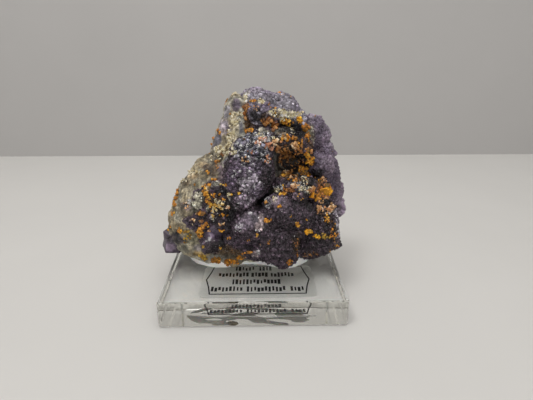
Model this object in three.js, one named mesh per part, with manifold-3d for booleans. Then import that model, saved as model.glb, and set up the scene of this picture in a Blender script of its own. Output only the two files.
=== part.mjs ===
// A mineral specimen on its display block: small wulfenite crystals on a lumpy crust of purple
// fluorite, grown over a broken piece of pale quartz, and stuck with mineral tack to a square of
// clear acrylic that has a printed label under it.
// Millimetres, +Z up. The origin is the middle of the block's underside, and -Y is the front.
import * as THREE from "three";
import { ConvexGeometry } from "three/addons/geometries/ConvexGeometry.js";
import { mergeVertices } from "three/addons/utils/BufferGeometryUtils.js";
import Module from "manifold-3d";

const wasm = await Module();
wasm.setup();

// Display block: a 2 1/2 inch square of 3/8 inch sheet, with its edges broken by a small bevel.
const BLOCK_SIDE = 63.5;
const BLOCK_HEIGHT = 9.6;
const BLOCK_BEVEL = 0.4;
const BLOCK_CORNER = 0.6;

// Label: a clear sticker under the block, let in flush so that the block stands on its own face.
// Its pocket leaves a little clearance over it and around it.
const LABEL_WIDTH = 42;
const LABEL_DEPTH = 21.5;
const LABEL_CORNER = 2;
const LABEL_THICK = 0.12;
const LABEL_POCKET = 0.15;
const LABEL_FROM_FRONT = 9.2;
const LABEL_TO_RIGHT = 1.6;
const LABEL_CLEARANCE = 0.1;

// Neighbouring solids of the specimen keep this gap, and its broken faces have lumps of these sizes.
const GAP = 0.3;
const COARSE_GRAIN = 8;
const FINE_GRAIN = 4;
const FINE_SHARE = 0.6;

// A box larger than the specimen, to cut it off level.
const CUT_BOX = 130;

// The broken quartz is two blocks grown together. Each has a middle that its surface is measured
// from, and corners, between which its faces are flat breaks.
const STONE_DETAIL = 5;
const STONE_ROUGHNESS = 0.9;
const PIT_DETAIL = 1;
const TOWER = {
  middle: [2, 8, 50],
  corners: [
    // left edge, from the top down, and the other corners of the top
    [-7.6, 5, 72.6], [-8.8, 6, 70.6], [-11.8, 6, 63.4], [-14.4, 6, 55.8], [-17, 5, 47],
    [-3, 10, 72.6], [12, 10, 68], [18, 14, 62],
    // front, from the top down
    [-3.4, 1, 70.4], [-5.6, -1, 63.6], [-8.8, -3, 56.4], [-9.7, -6.4, 48.6], [-9, -8, 38],
    [6, -1, 62], [14, 1, 52], [20, -1, 40],
    // back, from the top down, and the foot that stands in the other block
    [-10, 16, 66], [10, 20, 60], [24, 19, 51], [28, 18, 36], [-20, 17, 40], [-8, 22, 40], [10, 23, 30],
    [-12, 4, 22], [20, 4, 22],
  ],
};
const PLINTH = {
  middle: [-4, 5, 27],
  corners: [
    // left edge, from the top down
    [-16.2, 5, 52.4], [-21.8, 4.5, 46.4], [-28.2, 4.5, 40.4], [-32.6, 4, 32.2], [-36.4, 2.6, 22.6],
    [-34.8, 3.4, 15.6], [-32.2, 3, 11.2],
    // front, from the top down
    [-12, -4, 50.2], [-15.2, -6.6, 45.4], [-20.8, -6.8, 40], [-25, -6.8, 34.2], [-28.4, -6, 26],
    [-28, -6.5, 18.2], [-24, -8, 13.4], [-20, -9, 12.6], [-8, -9.8, 12], [8, -9, 11.2],
    [22, -6, 12.4], [28, -2, 22], [22, -2, 36],
    // back
    [-24, 16, 44], [-31, 13, 20], [-26, 14, 11.2], [-8, 22, 38], [10, 24, 28], [24, 19, 34],
    [31, 13, 20], [22, 19, 11.2], [0, 21, 11.2],
  ],
};

// Pits in the quartz: the open hollow on the right, and the small one under the big lobe.
const PITS = [
  [[14.4, -1, 48.6], [6.4, 8, 4.8]],
  [[3.6, -5, 35.6], [3, 5, 3]],
];

// Lobes of fluorite: each has a middle that its surface is measured from, the fineness of its
// surface, and its lumps, as the middle of each and its half sizes along X, Y and Z.
const LOBES = {
  crown: {
    middle: [6, 4, 66.5],
    detail: 4,
    lumps: [
      [[3.5, 4, 68.2], [6.8, 6.5, 4.9]],
      [[10.2, 4, 67.2], [6.3, 6.5, 5.2]],
      [[0.4, 7, 70.2], [4.4, 5, 4.2]],
      [[15.3, 4.5, 63.2], [4.2, 5, 4.6]],
      [[3.4, -0.6, 66.4], [5.4, 4, 4]],
    ],
  },
  shoulder: {
    middle: [9, -0.5, 57],
    detail: 4,
    lumps: [
      [[3.3, -2.8, 57.4], [5.8, 5, 5]],
      [[10.5, -1.6, 57.6], [5.4, 4.6, 4]],
      [[16.8, 0.6, 54.8], [4.8, 5, 4.6]],
      [[19.6, 4, 50], [3, 4, 4.6]],
    ],
  },
  breast: {
    middle: [-1.5, -4, 46],
    detail: 4,
    lumps: [
      [[-2, -7.6, 45.2], [8.2, 7.5, 9.4]],
      [[-0.6, -5, 52.6], [7.4, 6, 6.6]],
      [[-3.6, -10.4, 38.6], [5.2, 4.6, 5]],
      [[3.3, -8.2, 46.6], [4.6, 4.2, 5.6]],
    ],
  },
  foot: {
    middle: [4.5, -8, 26],
    detail: 5,
    lumps: [
      [[1, -12.4, 29], [7.6, 6.2, 6.2]],
      [[10.5, -11.8, 33.4], [7, 5.6, 5.8]],
      [[8.1, -12.6, 22], [8.4, 7, 7.6]],
      [[11.4, -12.4, 16.4], [5.4, 4.2, 5.4]],
      [[-4.9, -9, 22], [6.8, 5.4, 6.2]],
      [[8, -13, 37.4], [3.8, 3, 3]],
      [[16.9, -9.6, 29.4], [5.4, 5.4, 7.4]],
      [[0.5, -12.4, 17.6], [4.6, 4, 4.6]],
    ],
  },
  right_ball: {
    middle: [23, -3, 24.5],
    detail: 5,
    lumps: [
      [[24, -5.4, 23.6], [8.8, 8.2, 9]],
      [[26.4, -4, 31.4], [5.4, 5.2, 5.4]],
      [[21.4, -5.2, 17.6], [7.4, 6.4, 5.2]],
      [[30.4, -2, 20.4], [3.8, 4.6, 5.6]],
      [[24.8, 2, 37], [4.8, 5, 5]],
    ],
  },
  ledge: {
    middle: [15, -5.5, 40],
    detail: 3,
    lumps: [
      [[12.6, -7.2, 42], [5.6, 4.4, 3.2]],
      [[19.4, -4, 39.8], [4.6, 4.4, 4]],
      [[15.2, -9.4, 37.8], [3.8, 3.4, 3.6]],
    ],
  },
  left_patch: {
    middle: [-12, -6, 32.5],
    detail: 4,
    lumps: [
      [[-9, -8.4, 35.6], [4.8, 4.2, 4.6]],
      [[-13.4, -7.6, 39.4], [4.2, 3.6, 4]],
      [[-9.4, -8.8, 29.4], [4.6, 4.4, 4.6]],
      [[-14.6, -8, 32.4], [4.2, 4, 4.4]],
      [[-18.6, -6.8, 36.6], [3.4, 3.2, 3.6]],
      [[-17.6, -7.4, 27], [4.2, 4, 4.2]],
      [[-22.6, -6, 29], [3.8, 3.2, 4.2]],
    ],
  },
  right_edge: {
    middle: [26.5, 11, 46],
    detail: 4,
    lumps: [
      [[21.8, 13, 60.8], [3.8, 4, 3.8]],
      [[24.4, 13, 56.8], [5.4, 6, 6.6]],
      [[26.9, 13, 49.4], [5, 6, 6.2]],
      [[29.6, 12, 40.8], [5.6, 6.4, 7]],
      [[32.2, 11, 31.4], [4.6, 5.4, 5.8]],
      [[34.2, 10, 25.6], [2.9, 3.6, 3.6]],
      [[29.6, 12, 26.4], [5, 5.6, 5.4]],
      [[26, 5.8, 46], [4.6, 4.4, 5.6]],
    ],
  },
};
const FRONT_LOBES = ["shoulder", "breast", "foot", "right_ball", "ledge", "left_patch"];
const LOBE_CORE = 2.5;
const LOBE_ROUGHNESS = 0.55;

// Fluorite that grew as cubes: middle, side, and turn about X, Y and Z in degrees.
const FRONT_CUBES = [
  [[-15, -10.4, 21.4], 6.2, [32, 24, 38]],
  [[-12.6, -8.6, 27], 5, [10, 50, 20]],
];
const CORNER_CUBES = [
  [[-32.2, 0.2, 15.8], 5.6, [8, 12, 24]],
  [[-32.6, 0, 19.4], 3.8, [20, -14, 50]],
  [[-30.8, -2, 18], 3.8, [-20, 30, 10]],
];

// Mineral tack: the outline of the pad, and its height before the rock is pressed into it.
const TACK_OUTLINE = [
  [-26, 1.5], [-23.4, -3.6], [-19.6, -6.8], [-14.8, -8.6], [-10.6, -8.6], [-7.2, -7.6], [-4.2, -6.4],
  [3.1, -6.6], [7, -8.2], [10.7, -10.2], [16.2, -8.6], [19, -6], [21.6, -2.6],
  [20.5, 3.5], [8, 9.5], [-4, 11], [-16, 9.4], [-23.6, 6.4],
];
const TACK_HEIGHT = 4.4;
const TACK_BEVEL = 1.6;
const TACK_POINTS = 22;

// Wulfenite: the eye point that the front clusters are laid out from, and one line for each cluster:
// a point near its middle, reach across and up, number of crystals, half width of a crystal.
const FRONT_EYE = new THREE.Vector3(2.2, -142, 84.8);
const CLUSTERS = [
  // crown, brow and temple
  [[10.5, 2, 72.6], 1.6, 1.2, 2, 2.0],
  [[-2.6, -3, 68.6], 2.6, 2.4, 2, 2.0],
  [[-1.6, -3, 63], 2, 2.4, 2, 2.0],
  [[4, -4, 62], 4, 1.8, 3, 2.2],
  [[18.6, 0, 59.8], 2.4, 4, 4, 2.2],
  // shoulder and the hollow under it
  [[11.6, -4, 56], 5.4, 1.8, 5, 2.1],
  [[4.4, -7, 56.4], 2.8, 1.6, 2, 2.0],
  [[20.6, 0, 50], 2.4, 4.4, 4, 2.2],
  [[16, 1, 46], 3.4, 2.4, 3, 2.1],
  // ledge under the hollow, down to the right
  [[12.4, -10, 44.2], 4, 2, 4, 2.1],
  [[25.4, 0, 38.6], 4, 2.6, 4, 2.8],
  [[26.8, -8, 32], 3.4, 3, 3, 2.1],
  [[19.4, -12, 26.4], 3, 1.8, 2, 2.1],
  [[25.8, -10, 24.2], 3, 2, 2, 2.0],
  // left side, from the top down
  [[-17.2, -10, 40], 2.4, 3, 3, 2.0],
  [[-12, -13, 34], 2.8, 3, 3, 1.8],
  [[-18, -13, 27.6], 3, 3, 3, 2.1],
  [[-30, 2, 36.4], 1.4, 2.6, 2, 1.8],
  [[-9.8, -11, 16], 3.4, 1.2, 3, 1.8],
];

// A crystal, as parts of its half width: its half thickness, its narrower face, how far it stands
// out of the rock, the step to the next one, and the farthest that one may lie behind or in front.
const CRYSTAL_FLATNESS = 0.42;
const CRYSTAL_FACE = 0.86;
const CRYSTAL_LIFT = 0.25;
const CRYSTAL_STEP = 1.15;
const CRYSTAL_REACH = 2.2;
const CRYSTAL_SIZES = [0.75, 1.35];
const CRYSTAL_LEAN = 0.8;
const WULFENITE_SEED = 11;
const MOST_TRIES = 400;
const SMALLEST_BODY = 2;

const COLOURS = {
  acrylic: { color: 0xe4e8e6, roughness: 0.05, metalness: 0, transparent: true, opacity: 0.35 },
  label: { color: 0xf2f2ee, roughness: 0.4, metalness: 0, transparent: true, opacity: 0.5 },
  tack: { color: 0xf1f1ec, roughness: 0.6, metalness: 0 },
  quartz: { color: 0xa09c86, roughness: 0.85, metalness: 0 },
  fluorite: { color: 0x5c4a68, roughness: 0.45, metalness: 0 },
  wulfenite: { color: 0xd08a1e, roughness: 0.25, metalness: 0 },
};

const toPoint = ([x, y, z]) => new THREE.Vector3(x, y, z);

// Seeded random numbers from 0 to 1, so that every run grows the same specimen.
function randomFrom(seed) {
  let state = seed;
  return () => {
    state = (state + 0x6d2b79f5) | 0;
    let t = Math.imul(state ^ (state >>> 15), 1 | state);
    t = (t + Math.imul(t ^ (t >>> 7), 61 | t)) ^ t;
    return ((t ^ (t >>> 14)) >>> 0) / 4294967296;
  };
}

const CUBE_CORNERS = [0, 1, 2, 3, 4, 5, 6, 7].map((i) => [i & 1, (i >> 1) & 1, i >> 2]);

// A fixed value from -1 to 1 for each point of the whole-number grid.
function gridValue(x, y, z) {
  let h = Math.imul(x, 374761393) ^ Math.imul(y, 668265263) ^ Math.imul(z, 1274126177);
  h = Math.imul(h ^ (h >>> 13), 1274126177);
  return ((h ^ (h >>> 16)) >>> 0) / 2147483648 - 1;
}

// Smooth noise from -1 to 1 in lumps of the given size.
function noise(point, size) {
  const [px, py, pz] = [point.x / size, point.y / size, point.z / size];
  const [ix, iy, iz] = [Math.floor(px), Math.floor(py), Math.floor(pz)];
  const ease = (t) => t * t * (3 - 2 * t);
  const [fx, fy, fz] = [ease(px - ix), ease(py - iy), ease(pz - iz)];
  let sum = 0;
  for (const [dx, dy, dz] of CUBE_CORNERS) {
    const weight = (dx ? fx : 1 - fx) * (dy ? fy : 1 - fy) * (dz ? fz : 1 - fz);
    sum += weight * gridValue(ix + dx, iy + dy, iz + dz);
  }
  return sum;
}

// A closed three.js geometry as a solid that can be joined and cut.
function toSolid(geometry) {
  const bare = geometry.clone();
  bare.deleteAttribute("normal");
  bare.deleteAttribute("uv");
  const merged = mergeVertices(bare, 1e-4);
  return new wasm.Manifold(
    new wasm.Mesh({
      numProp: 3,
      vertProperties: merged.attributes.position.array,
      triVerts: new Uint32Array(merged.index.array),
    }),
  );
}

function toGeometry(solid) {
  const mesh = solid.getMesh();
  const indexed = new THREE.BufferGeometry();
  indexed.setAttribute("position", new THREE.BufferAttribute(mesh.vertProperties, 3));
  indexed.setIndex(new THREE.BufferAttribute(mesh.triVerts, 1));
  const flat = indexed.toNonIndexed();
  flat.computeVertexNormals();
  return flat;
}

const joined = (solids) => solids.reduce((whole, next) => whole.add(next));

function spaceAbove(level) {
  const box = new THREE.BoxGeometry(CUT_BOX, CUT_BOX, CUT_BOX);
  return toSolid(box.translate(0, 0, level + CUT_BOX / 2));
}

// Cutting and gluing can leave crumbs: the piece is the largest body.
function largestBody(solid) {
  return solid.decompose().reduce((best, body) => (body.volume() > best.volume() ? body : best));
}

function namedMesh(name, geometry, finish) {
  const mesh = new THREE.Mesh(geometry, new THREE.MeshStandardMaterial({ ...finish, flatShading: true }));
  mesh.name = name;
  return mesh;
}

// Rectangle with round corners, centred on the origin.
function roundedRectangle(width, depth, corner) {
  const [x, y] = [width / 2, depth / 2];
  const shape = new THREE.Shape();
  shape.moveTo(-x + corner, -y);
  shape.lineTo(x - corner, -y);
  shape.absarc(x - corner, -y + corner, corner, -Math.PI / 2, 0);
  shape.absarc(x - corner, y - corner, corner, 0, Math.PI / 2);
  shape.absarc(-x + corner, y - corner, corner, Math.PI / 2, Math.PI);
  shape.absarc(-x + corner, -y + corner, corner, Math.PI, Math.PI * 1.5);
  return shape;
}

function labelPlate(grow, thickness) {
  const shape = roundedRectangle(
    LABEL_WIDTH + 2 * grow,
    LABEL_DEPTH + 2 * grow,
    LABEL_CORNER + grow,
  );
  const plate = new THREE.ExtrudeGeometry(shape, { depth: thickness, bevelEnabled: false, curveSegments: 3 });
  return plate.translate(LABEL_TO_RIGHT, -BLOCK_SIDE / 2 + LABEL_FROM_FRONT + LABEL_DEPTH / 2, 0);
}

function acrylicBlock() {
  const inner = BLOCK_SIDE - 2 * BLOCK_BEVEL;
  const block = new THREE.ExtrudeGeometry(roundedRectangle(inner, inner, BLOCK_CORNER), {
    depth: BLOCK_HEIGHT - 2 * BLOCK_BEVEL,
    bevelThickness: BLOCK_BEVEL,
    bevelSize: BLOCK_BEVEL,
    bevelSegments: 1,
    curveSegments: 2,
  }).translate(0, 0, BLOCK_BEVEL);
  const pocket = labelPlate(LABEL_CLEARANCE, LABEL_POCKET + BLOCK_BEVEL).translate(0, 0, -BLOCK_BEVEL);
  return toSolid(block).subtract(toSolid(pocket));
}

// A closed surface around a middle point: reachAlong tells how far out each point of it lies.
function starSolid(middle, detail, roughness, grow, reachAlong) {
  const ball = new THREE.IcosahedronGeometry(1, detail);
  const place = ball.attributes.position;
  const out = new THREE.Vector3();
  for (let i = 0; i < place.count; i++) {
    out.fromBufferAttribute(place, i).normalize();
    const spot = middle.clone().addScaledVector(out, reachAlong(out));
    const rough = noise(spot, COARSE_GRAIN) + FINE_SHARE * noise(spot, FINE_GRAIN);
    spot.addScaledVector(out, grow + roughness * rough);
    place.setXYZ(i, spot.x, spot.y, spot.z);
  }
  return toSolid(ball);
}

// A block of quartz reaches out to the first of its flat breaks.
function stoneSolid({ middle, corners }, grow) {
  const centre = toPoint(middle);
  const corner = new ConvexGeometry(corners.map(toPoint)).attributes.position;
  const faces = [];
  for (let i = 0; i < corner.count; i += 3) {
    const [a, b, c] = [0, 1, 2].map((k) => new THREE.Vector3().fromBufferAttribute(corner, i + k));
    faces.push(new THREE.Plane().setFromCoplanarPoints(a, b, c));
  }
  const toFace = (out) => (face) => {
    const facing = face.normal.dot(out);
    return facing > 1e-6 ? -face.distanceToPoint(centre) / facing : Infinity;
  };
  const reachAlong = (out) => Math.min(...faces.map(toFace(out)));
  return starSolid(centre, STONE_DETAIL, STONE_ROUGHNESS, grow, reachAlong);
}

// A pit gets smaller as the rock around it is enlarged.
function pitSolid([middle, half], grow) {
  const [x, y, z] = half.map((size) => size - grow);
  return toSolid(new THREE.IcosahedronGeometry(1, PIT_DETAIL).scale(x, y, z).translate(...middle));
}

// How far along a line from the middle of a lobe the far side of one of its lumps lies.
function farSide(centre, out, [middle, half]) {
  const size = toPoint(half);
  const from = centre.clone().sub(toPoint(middle)).divide(size);
  const way = out.clone().divide(size);
  const [a, b, c] = [way.dot(way), from.dot(way), from.dot(from) - 1];
  const root = b * b - a * c;
  return root > 0 ? (-b + Math.sqrt(root)) / a : 0;
}

// A lobe of fluorite reaches out to the far side of its farthest lump.
function lobeSolid({ middle, detail, lumps }, grow) {
  const centre = toPoint(middle);
  const reachAlong = (out) => Math.max(LOBE_CORE, ...lumps.map((lump) => farSide(centre, out, lump)));
  return starSolid(centre, detail, LOBE_ROUGHNESS, grow, reachAlong);
}

function cubeSolid([middle, side, turn], grow) {
  const cube = new THREE.BoxGeometry(side + 2 * grow, side + 2 * grow, side + 2 * grow);
  const [x, y, z] = turn.map(THREE.MathUtils.degToRad);
  cube.rotateX(x).rotateY(y).rotateZ(z).translate(...middle);
  return toSolid(cube);
}

// A wulfenite crystal: a square tablet that is a little narrower on one face.
function crystalSolid(halfWidth, placing) {
  const thickness = halfWidth * CRYSTAL_FLATNESS * 2;
  const tablet = new THREE.CylinderGeometry(halfWidth * CRYSTAL_FACE, halfWidth, thickness, 4);
  return toSolid(tablet.applyMatrix4(placing));
}

// Crystals of one cluster step out from its middle, each beside an earlier one, and each stands
// where a ray from the eye point meets the rock.
function clusterCrystals([middle, across, up, count, halfWidth], rock, random) {
  const target = toPoint(middle);
  const look = target.clone().sub(FRONT_EYE).normalize();
  const right = new THREE.Vector3().crossVectors(look, new THREE.Vector3(0, 0, 1)).normalize();
  const over = new THREE.Vector3().crossVectors(right, look);
  const ray = new THREE.Raycaster();
  const seats = [];
  const crystals = [];
  for (let tries = 0; tries < MOST_TRIES && crystals.length < count; tries++) {
    const size = halfWidth * THREE.MathUtils.lerp(...CRYSTAL_SIZES, random());
    const from = seats.length ? seats[Math.floor(random() * seats.length)] : { u: 0, v: 0 };
    const way = random() * Math.PI * 2;
    const step = seats.length ? size * CRYSTAL_STEP : 0;
    const [u, v] = [from.u + Math.cos(way) * step, from.v + Math.sin(way) * step];
    if ((u / across) ** 2 + (v / up) ** 2 > 1) continue;
    const aim = target.clone().addScaledVector(right, u).addScaledVector(over, v);
    ray.set(FRONT_EYE, aim.sub(FRONT_EYE).normalize());
    const hit = ray.intersectObject(rock)[0];
    if (!hit || (seats.length && from.point.distanceTo(hit.point) > CRYSTAL_REACH * size)) continue;
    const lean = new THREE.Vector3(random() - 0.5, random() - 0.5, random() - 0.5);
    const axis = hit.face.normal.clone().addScaledVector(lean, 2 * CRYSTAL_LEAN).normalize();
    const turn = new THREE.Quaternion().setFromUnitVectors(new THREE.Vector3(0, 1, 0), axis);
    const spin = new THREE.Quaternion().setFromAxisAngle(new THREE.Vector3(0, 1, 0), random() * Math.PI);
    const seat = hit.point.clone().addScaledVector(hit.face.normal, size * CRYSTAL_LIFT);
    const placing = new THREE.Matrix4().compose(seat, turn.multiply(spin), new THREE.Vector3(1, 1, 1));
    crystals.push(crystalSolid(size, placing));
    seats.push({ u, v, point: hit.point });
  }
  return crystals;
}

// Crystals that touch are one solid. The pieces are in order from the top down, without crumbs.
function wulfeniteBodies(rock, keepClear) {
  const random = randomFrom(WULFENITE_SEED);
  const crystals = CLUSTERS.flatMap((cluster) => clusterCrystals(cluster, rock, random));
  const bodies = joined(crystals).subtract(keepClear).decompose();
  const top = (body) => body.boundingBox().max[2];
  return bodies.filter((body) => body.volume() > SMALLEST_BODY).sort((a, b) => top(b) - top(a));
}

// The pad of tack, which swells by the given amount.
function tackSolid(grow) {
  const rim = TACK_OUTLINE.map(([x, y]) => new THREE.Vector2(x, y));
  const shape = new THREE.Shape(new THREE.SplineCurve([...rim, rim[0]]).getPoints(TACK_POINTS).slice(0, -1));
  const pad = new THREE.ExtrudeGeometry(shape, {
    depth: TACK_HEIGHT - TACK_BEVEL + grow,
    bevelThickness: TACK_BEVEL,
    bevelSize: TACK_BEVEL,
    bevelOffset: grow - TACK_BEVEL,
    bevelSegments: 2,
  }).translate(0, 0, BLOCK_HEIGHT);
  return toSolid(pad).intersect(spaceAbove(BLOCK_HEIGHT));
}

// What the specimen is grown from, each enlarged by the given amount.
const quartz = (grow) => {
  const pits = joined(PITS.map((pit) => pitSolid(pit, grow)));
  return stoneSolid(TOWER, grow).add(stoneSolid(PLINTH, grow)).subtract(pits);
};
const lobes = (names, grow) => joined(names.map((name) => lobeSolid(LOBES[name], grow)));
const cubes = (places, grow) => joined(places.map((place) => cubeSolid(place, grow)));
const fluorite = {
  crust: (grow) => lobes(FRONT_LOBES, grow).add(cubes(FRONT_CUBES, grow)),
  crown: (grow) => lobes(["crown"], grow),
  right_edge: (grow) => lobes(["right_edge"], grow),
  left_end: (grow) => cubes(CORNER_CUBES, grow),
};

const group = new THREE.Group();
group.add(namedMesh("acrylic_base", toGeometry(acrylicBlock()), COLOURS.acrylic));
group.add(namedMesh("label", labelPlate(0, LABEL_THICK), COLOURS.label));

// Each mineral is cut back from what it grew on, so that neighbours keep their gap.
const overBlock = spaceAbove(BLOCK_HEIGHT + GAP);
let grownSoFar = quartz(0).intersect(overBlock);
let keepClear = quartz(GAP);
group.add(namedMesh("matrix", toGeometry(grownSoFar), COLOURS.quartz));
for (const [name, growth] of Object.entries(fluorite)) {
  const piece = largestBody(growth(0).subtract(keepClear).intersect(overBlock));
  group.add(namedMesh("fluorite_" + name, toGeometry(piece), COLOURS.fluorite));
  grownSoFar = grownSoFar.add(piece);
  keepClear = keepClear.add(growth(GAP));
}
const tack = largestBody(tackSolid(0).subtract(keepClear));
group.add(namedMesh("mineral_tack", toGeometry(tack), COLOURS.tack));
keepClear = keepClear.add(tackSolid(GAP));

const rock = new THREE.Mesh(toGeometry(grownSoFar), new THREE.MeshBasicMaterial());
wulfeniteBodies(rock, keepClear).forEach((body, i) => {
  const number = String(i + 1).padStart(2, "0");
  group.add(namedMesh("wulfenite_" + number, toGeometry(body), COLOURS.wulfenite));
});

export default group;
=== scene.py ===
import math

import bpy
import numpy as np
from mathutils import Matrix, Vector, noise
from mathutils.bvhtree import BVHTree


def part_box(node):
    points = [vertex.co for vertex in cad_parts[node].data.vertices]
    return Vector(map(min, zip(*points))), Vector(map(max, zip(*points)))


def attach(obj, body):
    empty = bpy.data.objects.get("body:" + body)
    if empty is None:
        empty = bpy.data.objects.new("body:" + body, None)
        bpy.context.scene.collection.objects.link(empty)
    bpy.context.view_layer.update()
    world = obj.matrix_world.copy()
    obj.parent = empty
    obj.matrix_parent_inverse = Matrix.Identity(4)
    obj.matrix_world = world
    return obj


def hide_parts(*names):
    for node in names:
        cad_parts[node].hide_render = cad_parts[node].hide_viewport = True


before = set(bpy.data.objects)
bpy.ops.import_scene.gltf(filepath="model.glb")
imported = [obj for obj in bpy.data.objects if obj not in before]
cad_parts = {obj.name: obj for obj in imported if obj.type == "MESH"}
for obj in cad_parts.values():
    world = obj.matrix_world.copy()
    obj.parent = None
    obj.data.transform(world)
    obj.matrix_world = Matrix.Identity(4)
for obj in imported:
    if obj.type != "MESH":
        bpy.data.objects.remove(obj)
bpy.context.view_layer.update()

# A mineral specimen: small orange wulfenite crystals on purple fluorite and pale broken quartz,
# stuck with white tack to a clear acrylic block that has a printed label under it.

mm = 0.001
weldWithin = 0.002 * mm
random = np.random.default_rng(7)

# The camera comes first, because patches and crystals are placed along its lines of sight. Their px
# and py, and half widths and heights, are counted in a picture of the size that cameraView gives.

cameraView = {
    "eye": (2.18, -142.06, 84.81),  # millimetres
    "down": 19.811,  # degrees below level
    "right": 1.14,  # degrees to the right of straight on
    "lens": 26.68,
    "sensor": 36,
    "picture": (533, 400),
    "nearest": 0.01,
}
bpy.ops.object.camera_add(
    location=Vector(cameraView["eye"]) * mm,
    rotation=(math.radians(90 - cameraView["down"]), 0, -math.radians(cameraView["right"])),
)
camera = bpy.context.object
camera.data.lens = cameraView["lens"]
camera.data.sensor_width = cameraView["sensor"]
camera.data.clip_start = cameraView["nearest"]
bpy.context.scene.camera = camera
bpy.context.view_layer.update()


def pixelFocal():
    return cameraView["lens"] / cameraView["sensor"] * cameraView["picture"][0]


def sightLine(px, py):
    width, height = cameraView["picture"]
    ahead = Vector(((px - width / 2) / pixelFocal(), (height / 2 - py) / pixelFocal(), -1))
    return (camera.matrix_world.to_3x3() @ ahead).normalized()


def pick(*pieces):
    bpy.ops.object.select_all(action="DESELECT")
    for piece in pieces:
        piece.select_set(True)
    bpy.context.view_layer.objects.active = pieces[0]


def settle(piece):
    pick(piece)
    bpy.ops.object.transform_apply(location=True, rotation=True, scale=True)
    return piece


def shape(piece, kind, **settings):
    pick(piece)
    modifier = piece.modifiers.new(kind, kind)
    for name, value in settings.items():
        setattr(modifier, name, value)
    bpy.ops.object.modifier_apply(modifier=modifier.name)
    return piece


def editAll(piece):
    pick(piece)
    bpy.ops.object.mode_set(mode="EDIT")
    bpy.ops.mesh.select_all(action="SELECT")


def leaveEdit():
    bpy.ops.object.mode_set(mode="OBJECT")
    return bpy.context.object


def thicken(way):  # makes the face that is being edited a closed solid
    bpy.ops.mesh.select_all(action="SELECT")
    bpy.ops.mesh.extrude_region_move(TRANSFORM_OT_translate={"value": way})
    bpy.ops.mesh.select_all(action="SELECT")
    bpy.ops.mesh.normals_make_consistent(inside=False)
    leaveEdit()


def copyOfNode(name, nodeName):
    piece = bpy.data.objects.new(name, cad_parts[nodeName].data.copy())
    bpy.context.collection.objects.link(piece)
    piece.data.materials.clear()
    editAll(piece)
    bpy.ops.mesh.remove_doubles(threshold=weldWithin)
    return leaveEdit()


surfaceTextures = {"clouds": "CLOUDS", "cells": "VORONOI", "ridges": "CLOUDS"}  # ridges are hard-edged clouds


def roughen(piece, layers):
    for kind, size, depth in layers:
        texture = bpy.data.textures.new(f"{piece.name}{kind}", surfaceTextures[kind])
        texture.noise_scale = size * mm
        if kind == "ridges":
            texture.noise_type = "HARD_NOISE"
        strength = depth * mm
        shape(piece, "DISPLACE", texture=texture, texture_coords="LOCAL", strength=strength, mid_level=0.5)
        bpy.data.textures.remove(texture)
    return piece


def linear(hexColour):
    parts = [int(hexColour[i : i + 2], 16) / 255 for i in (0, 2, 4)]
    return np.array([c / 12.92 if c <= 0.04045 else ((c + 0.055) / 1.055) ** 2.4 for c in parts])


def opaque(hexColour):
    return (*linear(hexColour), 1)


def pointsOf(piece):
    points = np.zeros(len(piece.data.vertices) * 3, np.float32)
    piece.data.vertices.foreach_get("co", points)
    return points.reshape(-1, 3).astype(float)


def groundOf(*pieces):
    points, faces = [], []
    for piece in pieces:
        start = len(points)
        points += [v.co.copy() for v in piece.data.vertices]
        faces += [[start + i for i in f.vertices] for f in piece.data.polygons]
    return BVHTree.FromPolygons(points, faces)


def ride(piece, slot, *nodes):
    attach(piece, "root")
    if nodes:
        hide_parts(*nodes)


# Nodes for materials: each function adds one node and gives back its output.


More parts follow.
